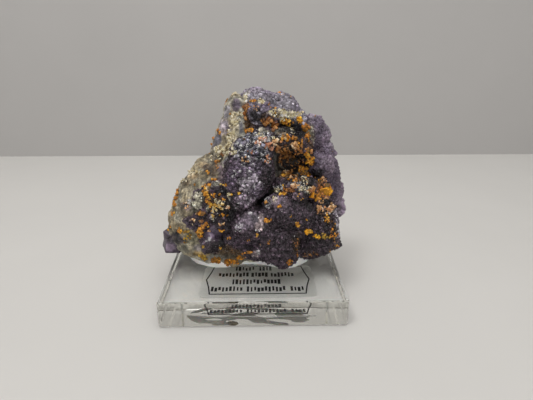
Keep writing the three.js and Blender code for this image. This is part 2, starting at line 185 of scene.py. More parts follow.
class Wiring:
    def __init__(self, name, settings):
        self.material = bpy.data.materials.new(name)
        self.material.use_nodes = True
        self.tree = self.material.node_tree
        self.shader = self.tree.nodes["Principled BSDF"]
        for socket, value in settings.items():
            self.shader.inputs[socket].default_value = value
        self.place = self.add("ShaderNodeTexCoord").outputs["Object"]

    def add(self, kind, inputs=None, **properties):
        node = self.tree.nodes.new(kind)
        for name, value in properties.items():
            setattr(node, name, value)
        for socket, value in (inputs or {}).items():
            if isinstance(value, bpy.types.NodeSocket):
                self.tree.links.new(value, node.inputs[socket])
            else:
                node.inputs[socket].default_value = value
        return node

    def noise(self, size, detail=3, rough=0.55):
        inputs = {"Vector": self.place, "Scale": 1 / (size * mm), "Detail": detail, "Roughness": rough}
        return self.add("ShaderNodeTexNoise", inputs).outputs["Fac"]

    def cells(self, size, output="Color", feature="F1"):
        inputs = {"Vector": self.place, "Scale": 1 / (size * mm)}
        return self.add("ShaderNodeTexVoronoi", inputs, feature=feature).outputs[output]

    def spread(self, value, low, high, lowest=0.0, highest=1.0):
        inputs = {"Value": value, "From Min": lowest, "From Max": highest, "To Min": low, "To Max": high}
        return self.add("ShaderNodeMapRange", inputs).outputs["Result"]

    def mix(self, factor, first, second, blend="MIX"):
        node = self.add("ShaderNodeMix", data_type="RGBA", blend_type=blend)
        for index, value in ((0, factor), (6, first), (7, second)):
            if isinstance(value, bpy.types.NodeSocket):
                self.tree.links.new(value, node.inputs[index])
            else:
                node.inputs[index].default_value = value
        return node.outputs[2]

    def maths(self, operation, *values):
        return self.add("ShaderNodeMath", dict(enumerate(values)), operation=operation).outputs["Value"]

    def shaded(self, colour, *shades):
        for shade in shades:
            grey = self.add("ShaderNodeCombineColor", dict.fromkeys(("Red", "Green", "Blue"), shade))
            colour = self.mix(1, colour, grey.outputs["Color"], "MULTIPLY")
        return colour

    def axes(self):
        return self.add("ShaderNodeSeparateXYZ", {"Vector": self.place}).outputs

    def tint(self):
        return self.add("ShaderNodeAttribute", attribute_name="tint").outputs["Color"]

    def bump(self, height, depth):
        inputs = {"Height": height, "Distance": depth * mm, "Strength": 1}
        return self.add("ShaderNodeBump", inputs).outputs["Normal"]

    def finish(self, **links):
        for socket, value in links.items():
            self.tree.links.new(value, self.shader.inputs[socket.replace("_", " ")])
        return self.material


# Floor, wall and lights

studio = {
    "floorSide": 4,  # metres
    "floorDrop": 0.0002,
    "wallBehind": 0.216,
    "wallTall": 1.6,
    "wallSunk": 0.01,
    "floorTint": "cfccc7",
    "wallTint": "b3b0ad",
    # painted light: a paler patch on the floor under the block
    "matTint": "fcfaf6",
    "matSide": 62,  # millimetres
    # painted shadow of the rock on the floor under the rear of the block
    "shadeTint": "a09d9a",
    "shadeFrom": -12,
    "shadeFull": 0,
    "skyTint": (0.98, 0.99, 1, 1),
    "sky": 0.36,
    "bounces": {"max_bounces": 24, "glossy_bounces": 16, "transmission_bounces": 24},
    "lamps": {  # place, side and watts
        "softbox": ((0, -0.08, 0.75), 0.8, 3.4),
        "keyLamp": ((-0.18, -0.16, 0.6), 0.16, 0.8),
        "frontFill": ((0.08, -0.8, 0.28), 0.5, 1.9),
    },
}


def stageMaterial(name, tintName):
    wiring = Wiring(name, {"Roughness": 0.55, "Specular IOR Level": 0.25})
    colour = opaque(studio[tintName])
    if tintName == "floorTint":  # a paler patch painted under the block stands in for the light that comes through the block, and painted shadow of the rock darkens it towards the rear
        axes = wiring.axes()
        reach = wiring.maths("MAXIMUM", *(wiring.maths("ABSOLUTE", axes[axis]) for axis in ("X", "Y")))
        underBlock = wiring.maths("LESS_THAN", reach, studio["matSide"] / 2 * mm)
        shade = wiring.spread(axes["Y"], 0, 1, studio["shadeFrom"] * mm, studio["shadeFull"] * mm)
        paintedLightAndShadow = wiring.mix(shade, opaque(studio["matTint"]), opaque(studio["shadeTint"]))
        colour = wiring.mix(underBlock, colour, paintedLightAndShadow)
    return wiring.finish(Base_Color=wiring.shaded(colour, wiring.spread(wiring.noise(60, 2), 0.97, 1.03)))


def buildStudio():
    bpy.ops.mesh.primitive_plane_add(size=studio["floorSide"], location=(0, 0, -studio["floorDrop"]))
    floor = bpy.context.object
    floor.name = "studioFloor"
    bpy.ops.mesh.primitive_plane_add(
        size=1,
        location=(0, studio["wallBehind"], studio["wallTall"] / 2 - studio["wallSunk"]),
        rotation=(math.radians(90), 0, 0),
    )
    wall = bpy.context.object
    wall.name = "studioWall"
    wall.scale = (studio["floorSide"], studio["wallTall"], 1)
    for piece, tintName in ((settle(floor), "floorTint"), (settle(wall), "wallTint")):
        piece.data.materials.append(stageMaterial(piece.name, tintName))
    for name, (place, side, watts) in studio["lamps"].items():
        aim = (-Vector(place)).to_track_quat("-Z", "Y").to_euler()
        bpy.ops.object.light_add(type="AREA", location=place, rotation=aim)
        lamp = bpy.context.object
        lamp.name = name
        lamp.data.size = side
        lamp.data.energy = watts
    world = bpy.data.worlds.new("studioSky")
    bpy.context.scene.world = world
    world.use_nodes = True
    sky = world.node_tree.nodes["Background"].inputs
    sky["Color"].default_value = studio["skyTint"]
    sky["Strength"].default_value = studio["sky"]
    bpy.context.scene.view_settings.view_transform = "Standard"
    for setting, value in studio["bounces"].items():  # clear acrylic needs many
        setattr(bpy.context.scene.cycles, setting, value)


bpy.ops.object.select_all(action="DESELECT")
buildStudio()
print("studio and camera ready")


# The clear block and its label

block = {
    "ior": 1.49,
    "clearTint": (0.99, 0.992, 0.988, 1),
    "faceHalf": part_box("acrylic_base")[1].x / mm,
    "edgeWide": 0.5,
    "edgeRough": 0.02,
    "scuffed": 0.04,
    "depthTint": (0.5, 0.5, 0.3, 1),
    "density": 4,  # absorption
}


def acrylicMaterial():
    settings = {"Base Color": block["clearTint"], "IOR": block["ior"], "Transmission Weight": 1}
    wiring = Wiring("clearAcrylic", settings)
    edge = [(block["faceHalf"] - block["edgeWide"]) * mm, block["faceHalf"] * mm]
    axes = wiring.axes()
    sides = [wiring.spread(wiring.maths("ABSOLUTE", axes[axis]), 0, 1, *edge) for axis in ("X", "Y")]
    corner = wiring.maths("MULTIPLY", *sides)
    scuffs = wiring.spread(wiring.noise(3, 6, 0.7), 0, block["scuffed"], 0.45, 0.75)
    absorbing = {"Color": block["depthTint"], "Density": block["density"]}
    absorb = wiring.add("ShaderNodeVolumeAbsorption", absorbing).outputs["Volume"]
    ends = [n for n in wiring.tree.nodes if n.type == "OUTPUT_MATERIAL"]
    wiring.tree.links.new(absorb, ends[0].inputs["Volume"])
    cornerRough = wiring.maths("MULTIPLY", corner, block["edgeRough"])
    return wiring.finish(Roughness=wiring.maths("MAXIMUM", scuffs, cornerRough))


def dress(nodeName, material):
    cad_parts[nodeName].data.materials.clear()
    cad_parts[nodeName].data.materials.append(material)


dress("acrylic_base", acrylicMaterial())


film = {"tint": (0.93, 0.92, 0.88, 1), "ior": 1.46, "clear": 0.2, "roughness": (0.3, 0.5)}


def filmMaterial():
    settings = {"Base Color": film["tint"], "IOR": film["ior"], "Transmission Weight": film["clear"]}
    wiring = Wiring("clearFilm", settings)
    return wiring.finish(Roughness=wiring.spread(wiring.noise(2, 4), *film["roughness"]))


dress("label", filmMaterial())

# The printed frame has straight long sides, and short sides that come to a point in their middle.
# Plain upright strokes stand in the place of words.

labelPrint = {
    "inkTints": ("0c0b0c", "2a282a"),
    "level": 0.2,
    "thick": 0.03,
    "lineWidth": 0.5,
    "middle": (1.5, -11.1),
    "half": (17.5, 9.7),
    "shoulder": 0.9,
    "notch": 2.2,
    "rows": [  # up, and the ends of each group of strokes
        (-6.4, [(-16.6, -5), (-3.6, 10.8), (12.4, 16.4)]),
        (-1.6, [(-9.2, 9.2)]),
        (3.3, [(-14.6, -3.6), (-2, 3.6), (5.4, 14.4)]),
        (8.0, [(-8.4, -0.6), (1, 5)]),
    ],
    "stroke": 0.8,
    "strokeWide": (0.7, 1.3),  # times the stroke
    "strokeTall": (2.1, 3.5),
    "strokeBevel": 0.2,
    "pitch": 1.32,
}


def inkMaterial():
    wiring = Wiring("labelInk", {"Roughness": 0.5})
    fresh, worn = (opaque(tint) for tint in labelPrint["inkTints"])
    return wiring.finish(Base_Color=wiring.mix(wiring.noise(0.5, 4), fresh, worn))


def buildPrint():
    level, thick = labelPrint["level"] * mm, labelPrint["thick"] * mm
    x, y = (v * mm for v in labelPrint["middle"])
    halfX, halfY = (v * mm for v in labelPrint["half"])
    bpy.ops.mesh.primitive_plane_add(size=2, location=(x, y, level))
    outline = bpy.context.object
    outline.scale = (halfX, halfY, 1)
    editAll(settle(outline))
    bpy.ops.mesh.subdivide(number_cuts=3)
    bpy.ops.mesh.select_all(action="DESELECT")
    leaveEdit()
    for v in outline.data.vertices:
        across, up = (v.co.x - x) / halfX, (v.co.y - y) / halfY
        if abs(across) > 0.99:
            out = labelPrint["notch"] if abs(up) < 0.1 else labelPrint["shoulder"] if abs(up) < 0.6 else 0
            v.co.x += math.copysign(out * mm, across)
    editAll(outline)
    bpy.ops.mesh.dissolve_faces()
    bpy.ops.mesh.inset(thickness=labelPrint["lineWidth"] * mm)
    bpy.ops.mesh.delete(type="FACE")
    thicken((0, 0, thick))
    strokes = [outline]
    for up, groups in labelPrint["rows"]:
        for left, right in groups:
            for across in np.arange(left, right, labelPrint["pitch"]):
                tall = random.uniform(*labelPrint["strokeTall"])
                shift = random.uniform(-0.5, 0.5) * (labelPrint["strokeTall"][1] - tall)
                place = (x + across * mm, y + (up + shift) * mm, level + thick / 2)
                bpy.ops.mesh.primitive_cube_add(size=1, location=place)
                stroke = bpy.context.object
                wide = labelPrint["stroke"] * random.uniform(*labelPrint["strokeWide"])
                stroke.scale = (wide * mm, tall * mm, thick)
                settle(stroke)
                width = labelPrint["strokeBevel"] * mm
                strokes.append(shape(stroke, "BEVEL", width=width, segments=1, limit_method="ANGLE"))
    pick(*strokes)
    bpy.ops.object.join()
    piece = bpy.context.object
    piece.name = "label_print"
    piece.data.materials.append(inkMaterial())
    ride(settle(piece), "label_film")


buildPrint()

tack = {
    "voxel": 0.4,
    "swell": 0.45,
    "layers": [("clouds", 3, 0.4), ("clouds", 0.8, 0.12)],
    "pressed": 0.35,  # what is lower than this over the block lies flat on it
    "sink": 0.06,
    "blisterSize": (9.6, 3.2),  # along and across the block's front
    "blisterFrom": 0.08,
    "tints": ("fcfbf8", "ece9e2"),
    "skin": {"Roughness": 0.6, "Subsurface Weight": 0.25, "Subsurface Scale": 0.001},
    "grime": 1.6,  # size of the patches
    "dents": (0.7, 0.15),  # size and depth
}


def buildTack():
    piece = copyOfNode("tack_pad", "mineral_tack")
    shape(piece, "REMESH", mode="VOXEL", voxel_size=tack["voxel"] * mm)
    shape(piece, "SMOOTH", iterations=3, factor=0.5)
    shape(piece, "DISPLACE", strength=tack["swell"] * mm, mid_level=0.0)
    roughen(piece, tack["layers"])
    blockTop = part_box("acrylic_base")[1].z
    along, across = (size * mm for size in tack["blisterSize"])
    for v in piece.data.vertices:  # pressed flat on the block, with blisters of air that don't touch it
        if v.co.z < blockTop + tack["pressed"] * mm:
            blister = noise.noise(Vector((v.co.x / along, v.co.y / across, 0))) > tack["blisterFrom"]
            v.co.z = blockTop + tack["sink"] * mm * (1 if blister else -1)
    pick(piece)
    bpy.ops.object.shade_smooth()
    wiring = Wiring("whiteTack", tack["skin"])
    clean, grimy = (opaque(tint) for tint in tack["tints"])
    colour = wiring.mix(wiring.noise(tack["grime"], 4), clean, grimy)
    dentSize, dentDepth = tack["dents"]
    bumped = wiring.bump(wiring.noise(dentSize, 4), dentDepth)
    piece.data.materials.append(wiring.finish(Base_Color=colour, Normal=bumped))
    ride(piece, "tack", "mineral_tack")


buildTack()
print("block, label and tack ready")


# The rock: solids of the frame made fine, then roughened and tinted.

rockForms = {  # layers are texture, size and depth, and pushes are middle, reach and way
    "quartz_rock": {
        "node": "matrix",
        "slot": "quartz",
        "voxel": 0.38,
        "smoothing": 1,
        "swell": 0.05,
        "layers": [
            ("clouds", 6, 1.8),
            ("cells", 4.5, -1.2),
            ("ridges", 2, -0.5),
            ("clouds", 1.3, 0.6),
            ("clouds", 0.5, 0.35),
        ],
        "pushes": [
            ((-14.4, -8, 13), 5, (0, 0, -1.4)),
            ((-8.7, -8, 12), 5, (0, 0, -3.6)),
            ((-18, -8, 13.5), 5, (0, 0, -1.6)),
            ((15, 0, 48.6), 7, (0, 3.5, 0)),
        ],
        "breaks": [  # a point on each broken face, and the way it faces
            ((0, 19.5, 40), (0.1, 1, 0.12)),
            ((-24, 12, 26), (-0.75, 0.62, 0.25)),
            ((20, 14, 26), (0.72, 0.68, -0.1)),
            ((-6, 16.5, 62), (-0.3, 0.8, 0.5)),
            ((4, 16, 16), (0.15, 0.85, -0.5)),
            ((-20, 15.5, 20), (-0.25, 0.93, -0.25)),
        ],
    },
    "fluorite_front": {
        "node": "fluorite_crust",
        "slot": "fluorite",
        "voxel": 0.3,
        "smoothing": 18,
        "swell": 0.2,
        "layers": [("clouds", 4, 0.8), ("cells", 1.6, -0.7), ("ridges", 1.2, -0.5), ("clouds", 0.55, 0.3)],
        "pushes": [
            ((2, -9, 10.5), 10, (0, 0, 3.6)),
            ((-1, -10, 11), 7, (0, 0, 4)),
            ((-1.6, -16, 15.5), 6.5, (0, 0, 1.6)),
            ((16, -12, 12), 6, (0, 0, 1.8)),
            ((15, 0, 48.6), 7, (0, 3.5, 0)),
            ((8, -10, 10), 6, (0, 0, 1.4)),
            ((14, -11, 9.5), 4, (0, 0, -0.8)),
            ((30.3, -5, 14.6), 6, (2.2, 0, -1)),
            ((34.4, -2, 22), 6, (-3.4, 0, 0)),
            ((32.5, -8, 26.5), 4.5, (-1.3, 0, 0)),
        ],
    },
    "fluorite_top": {
        "node": "fluorite_crown",
        "slot": "fluorite",
        "voxel": 0.22,
        "smoothing": 9,
        "swell": 0.1,
        "layers": [("clouds", 3, 0.9), ("cells", 1.5, -0.6), ("ridges", 1.3, -0.4), ("clouds", 0.5, 0.25)],
        "pushes": [((14, 2, 72), 5, (0, 0, -1.1))],
    },
    "fluorite_right": {
        "node": "fluorite_right_edge",
        "slot": "fluorite",
        "voxel": 0.3,
        "smoothing": 7,
        "swell": 0.05,
        "layers": [("cells", 3.6, -1.8), ("cells", 1.8, -0.6), ("clouds", 1.2, 0.25)],
        "pushes": [
            ((35.2, 10, 38.8), 5, (0.4, 0, 0)),
            ((35, 12, 52), 12, (-0.4, 0, 0)),
            ((34.5, 12, 43), 6, (-1.3, 0, 0)),
            ((34.5, 10, 23.5), 6, (1.2, 0, -1.8)),
        ],
        "lastSmoothing": 4,
    },
}
breakShare = 0.8  # how much of what stands past a broken face is taken away


def rockForm(name, form):
    piece = copyOfNode(name, form["node"])
    shape(piece, "REMESH", mode="VOXEL", voxel_size=form["voxel"] * mm)
    shape(piece, "SMOOTH", iterations=form["smoothing"], factor=0.5)
    shape(piece, "DISPLACE", strength=form["swell"] * mm, mid_level=0.0)
    for middle, way in form.get("breaks", []):
        facing = Vector(way).normalized()
        for v in piece.data.vertices:
            v.co -= facing * max(0, (v.co - Vector(middle) * mm).dot(facing)) * breakShare
    roughen(piece, form["layers"])
    if "lastSmoothing" in form:
        shape(piece, "SMOOTH", iterations=form["lastSmoothing"], factor=0.5)
    for middle, reach, push in form.get("pushes", []):
        for v in piece.data.vertices:
            v.co += Vector(push) * mm * max(0, 1 - (v.co / mm - Vector(middle)).length / reach)
    ride(piece, form["slot"], form["node"])
    print(name, len(piece.data.polygons), "faces")
    return piece


rocks = {name: rockForm(name, form) for name, form in rockForms.items()}

# Cubes of fluorite: middle, side and turn in degrees of each.

cubes = {
    "fluorite_cubes": [((-15, -10.4, 21.4), 6.2, (32, 24, 38)), ((-12.6, -8.6, 27), 5, (10, 50, 20))],
    "fluorite_left": [
        ((-32.2, 0.2, 15.8), 5.6, (8, 12, 24)),
        ((-32.6, 0, 19.4), 3.8, (20, -14, 50)),
        ((-30.8, -2, 18), 3.8, (-20, 30, 10)),
    ],
}
cubeFinish = {
    "grow": 0.3,
    "step": 0.55,
    "stepDepths": (0.16, 0.096),  # growth steps, one on the other
    "bevel": 0.22,
    "voxel": 0.15,
    "layers": [("clouds", 1.8, 0.2), ("clouds", 0.7, 0.1)],
    "flatTo": 25,  # degrees between faces that are shaded as one
}


def buildCubes(name, sizes):
    made = []
    for middle, side, turn in sizes:
        full = (side + cubeFinish["grow"]) * mm
        bpy.ops.mesh.primitive_cube_add(
            size=full, location=Vector(middle) * mm, rotation=[math.radians(a) for a in turn]
        )
        editAll(settle(bpy.context.object))
        for depth in cubeFinish["stepDepths"]:
            bpy.ops.mesh.inset(thickness=cubeFinish["step"] * mm, depth=depth * mm, use_individual=True)
        cube = leaveEdit()
        shape(cube, "BEVEL", width=cubeFinish["bevel"] * mm, segments=2, limit_method="ANGLE")
        shape(cube, "REMESH", mode="VOXEL", voxel_size=cubeFinish["voxel"] * mm)
        made.append(roughen(cube, cubeFinish["layers"]))
    pick(*made)
    bpy.ops.object.join()
    piece = bpy.context.object
    piece.name = name
    bpy.ops.object.shade_smooth_by_angle(angle=math.radians(cubeFinish["flatTo"]))
    return piece


for name, sizes in cubes.items():
    rocks[name] = buildCubes(name, sizes)
    ride(rocks[name], "fluorite", *(["fluorite_left_end"] if name == "fluorite_left" else []))

ground = groundOf(*rocks.values())
eye = camera.location.copy()


def spot(px, py):
    place, normal, _, _ = ground.ray_cast(eye, sightLine(px, py))
    return place, normal


# Tints, and where they lie. A patch is px, py, half width, half height, tint and strength, and a later
# one lies over those above it.

tints = {
    "violet": "6c6070",
    "mauve": "877886",
    "mauveGrey": "8f868f",
    "greyViolet": "9a95a0",
    "plum": "594c5b",
    "wine": "463843",
    "lilac": "a18ea2",
    "lilacGrey": "aca0ac",
    "roseGrey": "b5a2a2",
    "dusk": "463a43",
    "night": "31272d",
    "ink": "141012",
    "slate": "6a6873",
    "stoneLilac": "827c82",
    "steel": "4c4a56",
    "heather": "7e6c70",
    "dustyPlum": "6a5a62",
    "driftGrey": "74705f",
    "sugar": "e6e2e2",
    "cream": "d9ccb0",
    "sand": "b89c72",
    "quartz": "9a8c70",
    "paleQuartz": "c0b9a4",
    "stoneGrey": "8c887c",
    "olive": "8a8468",
    "moss": "665a42",
    "bark": "5a4833",
    "umber": "44301f",
    # for painted shade under crystals
    "soot": "2e2016",
    "rust": "8a5520",
    "ochre": "a8842c",
}

patches = [
    # crown and knob
    (255, 91, 9, 5, "mauveGrey", 0.7),
    (262, 97, 14, 5, "stoneLilac", 0.8),
    (284, 101, 15, 7, "stoneLilac", 0.7),
    (268, 95, 4, 3, "dusk", 0.5),
    (279, 100, 4, 3, "dusk", 0.5),
    (262, 102, 5, 2, "cream", 0.9),
    (287, 114, 15, 4, "cream", 1),
    (283, 116, 4, 4, "sugar", 0.9),
    # painted shade in the pocket under the crown
    (256, 115, 8, 8, "ink", 0.9),
    (256, 108, 6, 3, "violet", 0.6),
    (246, 105, 4, 5, "rust", 0.6),
    (247, 120, 3, 9, "umber", 1),
    (268, 120, 8, 5, "umber", 0.9),
    (286, 123, 13, 4, "ink", 0.9),
    (263, 132, 5, 5, "paleQuartz", 0.7),
    (285, 131, 11, 4, "stoneGrey", 0.8),
    (292, 130, 2, 3, "ink", 1),
    (305, 134, 5, 10, "umber", 0.7),
    (311, 133, 4, 10, "cream", 1),
    (236, 104, 5, 6, "plum", 0.9),
    (230, 99, 2, 6, "stoneGrey", 0.7),
    (225, 109, 4, 7, "paleQuartz", 1),
    (246, 97, 4, 7, "paleQuartz", 0.9),
    # upper left face and the ridge under it
    (226, 112, 5, 6, "greyViolet", 0.8),
    (223, 126, 6, 8, "lilacGrey", 0.8),
    (228, 130, 4, 5, "mauve", 0.6),
    (215, 142, 8, 6, "slate", 0.9),
    (213, 146, 3, 3, "plum", 0.6),
    (234, 114, 4, 7, "cream", 0.8),
    (240, 120, 4, 9, "stoneGrey", 0.6),
    (235, 127, 4, 7, "cream", 0.8),
    (232, 138, 6, 5, "cream", 0.8),
    (222, 148, 9, 5, "cream", 1),
    (238, 142, 2, 8, "night", 0.9),
    (241, 128, 2, 6, "slate", 0.8),
    (246, 97, 3, 5, "sugar", 0.6),
    (218, 138, 3, 8, "slate", 0.7),
    (217, 159, 8, 5, "umber", 0.6),
    (211, 154, 5, 4, "moss", 0.6),
    (204, 165, 6, 4, "sand", 0.6),
    (208, 169, 4, 3, "bark", 1),
    (212, 171, 9, 8, "umber", 0.85),
    (205, 167, 4, 3, "umber", 1),
    (223, 163, 4, 4, "stoneGrey", 0.6),
    (217, 167, 5, 5, "bark", 0.9),
    (221, 172, 3, 10, "dustyPlum", 0.8),
    (226, 160, 3, 4, "slate", 0.6),
    # lower left face
    (194, 176, 7, 3, "sand", 0.8),
    (190, 173, 8, 3, "cream", 0.6),
    (203, 176, 7, 4, "moss", 0.9),
    (186, 183, 5, 3, "bark", 0.9),
    (197, 184, 5, 3, "olive", 0.7),
    (190, 194, 6, 3, "paleQuartz", 0.3),
    (198, 195, 5, 5, "paleQuartz", 0.7),
    (184, 206, 5, 4, "heather", 0.8),
    (184, 211, 8, 7, "moss", 0.7),
    (173, 203, 3, 6, "driftGrey", 0.6),
    (188, 207, 4, 4, "heather", 0.7),
    (171, 228, 4, 5, "moss", 0.8),
    (175, 227, 4, 3, "moss", 0.7),
    (177, 234, 5, 4, "ink", 1),
    (183, 231, 3, 4, "moss", 0.6),
    (190, 224, 6, 5, "plum", 0.7),
    (203, 210, 6, 4, "wine", 0.9),
    (195, 205, 6, 4, "paleQuartz", 0.9),
    (202, 199, 4, 3, "paleQuartz", 0.8),
    (208, 208, 2, 4, "paleQuartz", 0.8),
    (191, 240, 7, 6, "olive", 0.7),
    (198, 248, 4, 3, "lilacGrey", 0.4),
    (184, 249, 10, 4, "driftGrey", 0.9),
    (230, 252, 14, 9, "bark", 1),
    (232, 251, 8, 6, "umber", 0.7),
    (235, 257, 8, 4, "moss", 0.8),
    (202, 254, 8, 3, "ochre", 0.6),
    # shoulder and breast
    (255, 136, 12, 5, "slate", 0.8),
    (258, 142, 16, 7, "slate", 0.9),
    (246, 150, 12, 8, "steel", 0.9),
    (238, 156, 4, 4, "greyViolet", 0.6),
    (242, 143, 5, 5, "violet", 0.6),
    (264, 156, 10, 7, "steel", 0.9),
    (236, 168, 9, 12, "plum", 0.8),
    (252, 168, 12, 8, "violet", 0.7),
    (251, 183, 10, 9, "lilacGrey", 0.9),
    (242, 172, 6, 5, "plum", 0.8),
    (231, 180, 6, 12, "plum", 0.9),
    (256, 190, 7, 8, "violet", 0.7),
    # painted shade in the crevice right of the breast and at the hollow's edges
    (270, 178, 4, 14, "ink", 0.8),
    (268, 191, 5, 6, "ink", 0.9),
    (244, 199, 9, 7, "mauve", 0.7),
    (281, 156, 10, 12, "ink", 0.9),
    (276, 183, 7, 10, "night", 0.8),
    (263, 199, 8, 10, "ink", 1),
    # hollow, ledge and temple; the near-black patches in the hollow and its creases are painted shade
    (295, 165, 14, 10, "ink", 1),
    (290, 150, 14, 6, "bark", 0.8),
    (310, 155, 6, 12, "umber", 0.8),
    (290, 176, 10, 5, "umber", 0.8),
    (279, 190, 6, 5, "ink", 0.8),
    (306, 186, 9, 10, "ink", 1),
    (316, 179, 7, 6, "ink", 1),
    (322, 190, 10, 8, "rust", 0.8),
    (327, 201, 5, 4, "ink", 1),
    (280, 203, 9, 7, "dustyPlum", 0.9),
    (277, 201, 6, 4, "mauve", 0.8),
    (289, 211, 8, 6, "dusk", 0.9),
    (298, 196, 5, 4, "dustyPlum", 0.8),
    (309, 204, 6, 7, "ink", 0.9),
    # foot
    (246, 221, 9, 8, "mauve", 0.8),
    (243, 214, 5, 4, "night", 0.9),
    (255, 219, 5, 5, "mauveGrey", 0.45),
    (261, 219, 3, 6, "roseGrey", 1),
    (259, 226, 4, 4, "roseGrey", 0.9),
    # painted highlight on the pale dome
    (250, 213, 2, 1, "sugar", 0.9),
    (238, 227, 5, 4, "lilacGrey", 0.8),
    (246, 234, 8, 5, "dusk", 0.7),
    (243, 243, 13, 7, "wine", 0.9),
    (276, 214, 8, 5, "dusk", 0.6),
    (281, 226, 13, 10, "night", 0.8),
    (272, 244, 14, 8, "night", 0.7),
    (280, 262, 12, 6, "dusk", 0.9),
    (247, 250, 6, 4, "night", 0.9),
    (256, 254, 4, 3, "roseGrey", 0.9),
    (258, 253, 2, 3, "sugar", 0.7),
    # touches on the crown, shoulder and ledge
    (295, 202, 3, 3, "ink", 0.9),
    (236, 107, 5, 5, "plum", 0.9),
    (251, 126, 5, 4, "umber", 0.9),
    (240, 143, 4, 4, "slate", 0.9),
    (283, 134, 6, 3, "bark", 0.8),
    (284, 185, 4, 3, "dusk", 0.9),
    (275, 200, 3, 3, "roseGrey", 1),
    # right ball
    (326, 210, 10, 6, "ink", 0.8),
    (314, 220, 11, 7, "night", 0.9),
    # painted shade under the crystals low on the ball
    (297, 243, 5, 10, "soot", 1),
    (318, 238, 12, 5, "ink", 0.7),
    (337, 225, 3, 12, "mauveGrey", 0.8),
    # cubes and the dark left patch; on the cube, a painted highlight on its upper left faces and painted
    # shade on its lower faces
    (213, 232, 6, 3, "violet", 0.9),
    (215, 245, 6, 6, "night", 0.9),
    (206, 241, 2, 1.5, "sugar", 1),
    (209, 239, 2, 2, "sugar", 0.6),
    (212, 236, 2, 2, "lilac", 0.6),
    (203, 243, 2, 1, "lilacGrey", 1),
    (212, 250, 8, 5, "night", 1),
    (218, 224, 4, 3, "night", 0.9),
    (223, 244, 4, 6, "ink", 0.9),
    (217, 203, 11, 9, "umber", 0.7),
    (222, 192, 8, 4, "ink", 0.9),
    (212, 192, 3, 3, "wine", 0.7),
    (207, 188, 3, 4, "sand", 0.7),
    (216, 184, 4, 3, "stoneGrey", 0.9),
    (229, 212, 8, 12, "ink", 0.9),
    (173, 238, 8, 5, "night", 0.9),
    (181, 240, 3, 5, "dusk", 0.9),
    (178, 240, 3, 7, "ink", 0.8),
    (171, 247, 5, 4, "lilac", 0.9),
    # right edge
    (314, 116, 5, 4, "lilacGrey", 0.7),
    (319, 128, 6, 12, "violet", 0.9),
    (325, 139, 5, 6, "lilac", 0.7),
    (323, 152, 5, 4, "plum", 0.8),
    (318, 151, 6, 6, "wine", 0.8),
    (331, 162, 7, 6, "mauve", 0.8),
    (333, 178, 6, 9, "plum", 0.7),
    (341, 188, 3, 14, "mauve", 0.8),
    (335, 193, 3, 6, "plum", 0.8),
    (337, 201, 3, 5, "plum", 0.8),
    (333, 200, 3, 4, "wine", 0.8),
    (326, 168, 3, 4, "plum", 0.7),
    (313, 160, 4, 9, "dusk", 0.8),
    # painted shade where the right edge meets the hollow
    (319, 174, 5, 6, "ink", 0.9),
    (312, 181, 4, 4, "ink", 1),
    (336, 211, 3, 4, "mauveGrey", 0.9),
    (309, 135, 3, 8, "paleQuartz", 0.7),
    (344, 209, 4, 8, "lilac", 1),
    (330, 143, 4, 5, "mauveGrey", 0.9),
]

# Stains on the sides and back: middle, half size, tint and strength, in millimetres.

stains = [
    ((-14, 20, 30), (6, 9, 15), "mauve", 0.7),
    ((4, 22, 52), (5, 8, 9), "plum", 0.7),
    ((16, 22, 22), (9, 8, 5), "lilacGrey", 0.6),
    ((-6, 22, 16), (13, 9, 4), "moss", 0.8),
    ((22, 18, 34), (5, 8, 11), "rust", 0.5),
    ((2, 22, 36), (9, 8, 4), "paleQuartz", 0.8),
    ((-22, 14, 20), (6, 8, 8), "bark", 0.6),
    ((-4, 20, 62), (6, 8, 5), "paleQuartz", 0.7),
    ((-30, 8, 26), (4, 5, 8), "olive", 0.7),
    ((26, 14, 16), (6, 8, 4), "bark", 0.7),
    ((-2, 20, 46), (3, 8, 12), "rust", 0.4),
    ((33, 14, 44), (5, 8, 8), "plum", 0.6),
    ((30, 16, 58), (5, 6, 6), "mauveGrey", 0.6),
]

# Painted shade inside the hollows: middle and half size of each hollow, in millimetres.

shadedHollows = [
    ((14.4, -1, 48.6), (8.5, 6.5, 6.6)),
    ((3.6, -5, 35.6), (4.5, 5.5, 4.4)),
    ((14, -1, 60), (7, 4.5, 3)),
]

# Where white grains grew: px, py, half width, half height and their share.

sugarPatches = [
    (256, 138, 14, 6, 1),
    (248, 147, 12, 7, 0.85),
    (265, 156, 8, 8, 0.7),
    (246, 160, 12, 6, 0.4),
    (248, 177, 13, 14, 0.3),
    (254, 188, 9, 10, 0.3),
    (243, 199, 8, 6, 0.2),
    (262, 98, 16, 6, 0.08),
    (283, 103, 14, 6, 0.08),
    (288, 114, 14, 4, 0.6),
    (284, 137, 8, 3, 0.3),
    (278, 189, 5, 5, 0.8),
    (284, 196, 3, 2, 0.4),
    (301, 186, 5, 6, 1.0),
    (275, 190, 4, 4, 1.0),
    (308, 190, 4, 4, 0.8),
    (271, 137, 4, 4, 0.8),
    (294, 183, 4, 3, 0.4),
    (238, 155, 4, 5, 0.8),
    (304, 177, 5, 4, 0.9),
    (330, 210, 7, 4, 0.7),
    (221, 204, 4, 5, 0.4),
    (213, 216, 3, 6, 0.8),
    (229, 198, 2, 3, 0.9),
    (236, 206, 3, 4, 0.4),
    (224, 189, 5, 3, 0.5),
    (237, 228, 6, 5, 0.6),
    (293, 130, 4, 5, 0.8),
    (268, 202, 3, 6, 0.8),
    (337, 226, 3, 12, 0.3),
    (236, 148, 5, 8, 0.6),
    (188, 203, 5, 4, 0.5),
    (246, 108, 3, 6, 0.2),
]


def pixelAt(place):  # how wide one picture point is at that distance
    width, height = cameraView["picture"]
    return (place - eye).dot(sightLine(width / 2, height / 2)) / pixelFocal()


def noiseAt(points, size, shift=0.0):
    return np.array([noise.noise(Vector(p) / (size * mm) + Vector((shift, 0, 0))) for p in points])


# How far each point stands out from its neighbours: above 0 on crests and below 0 in gaps.


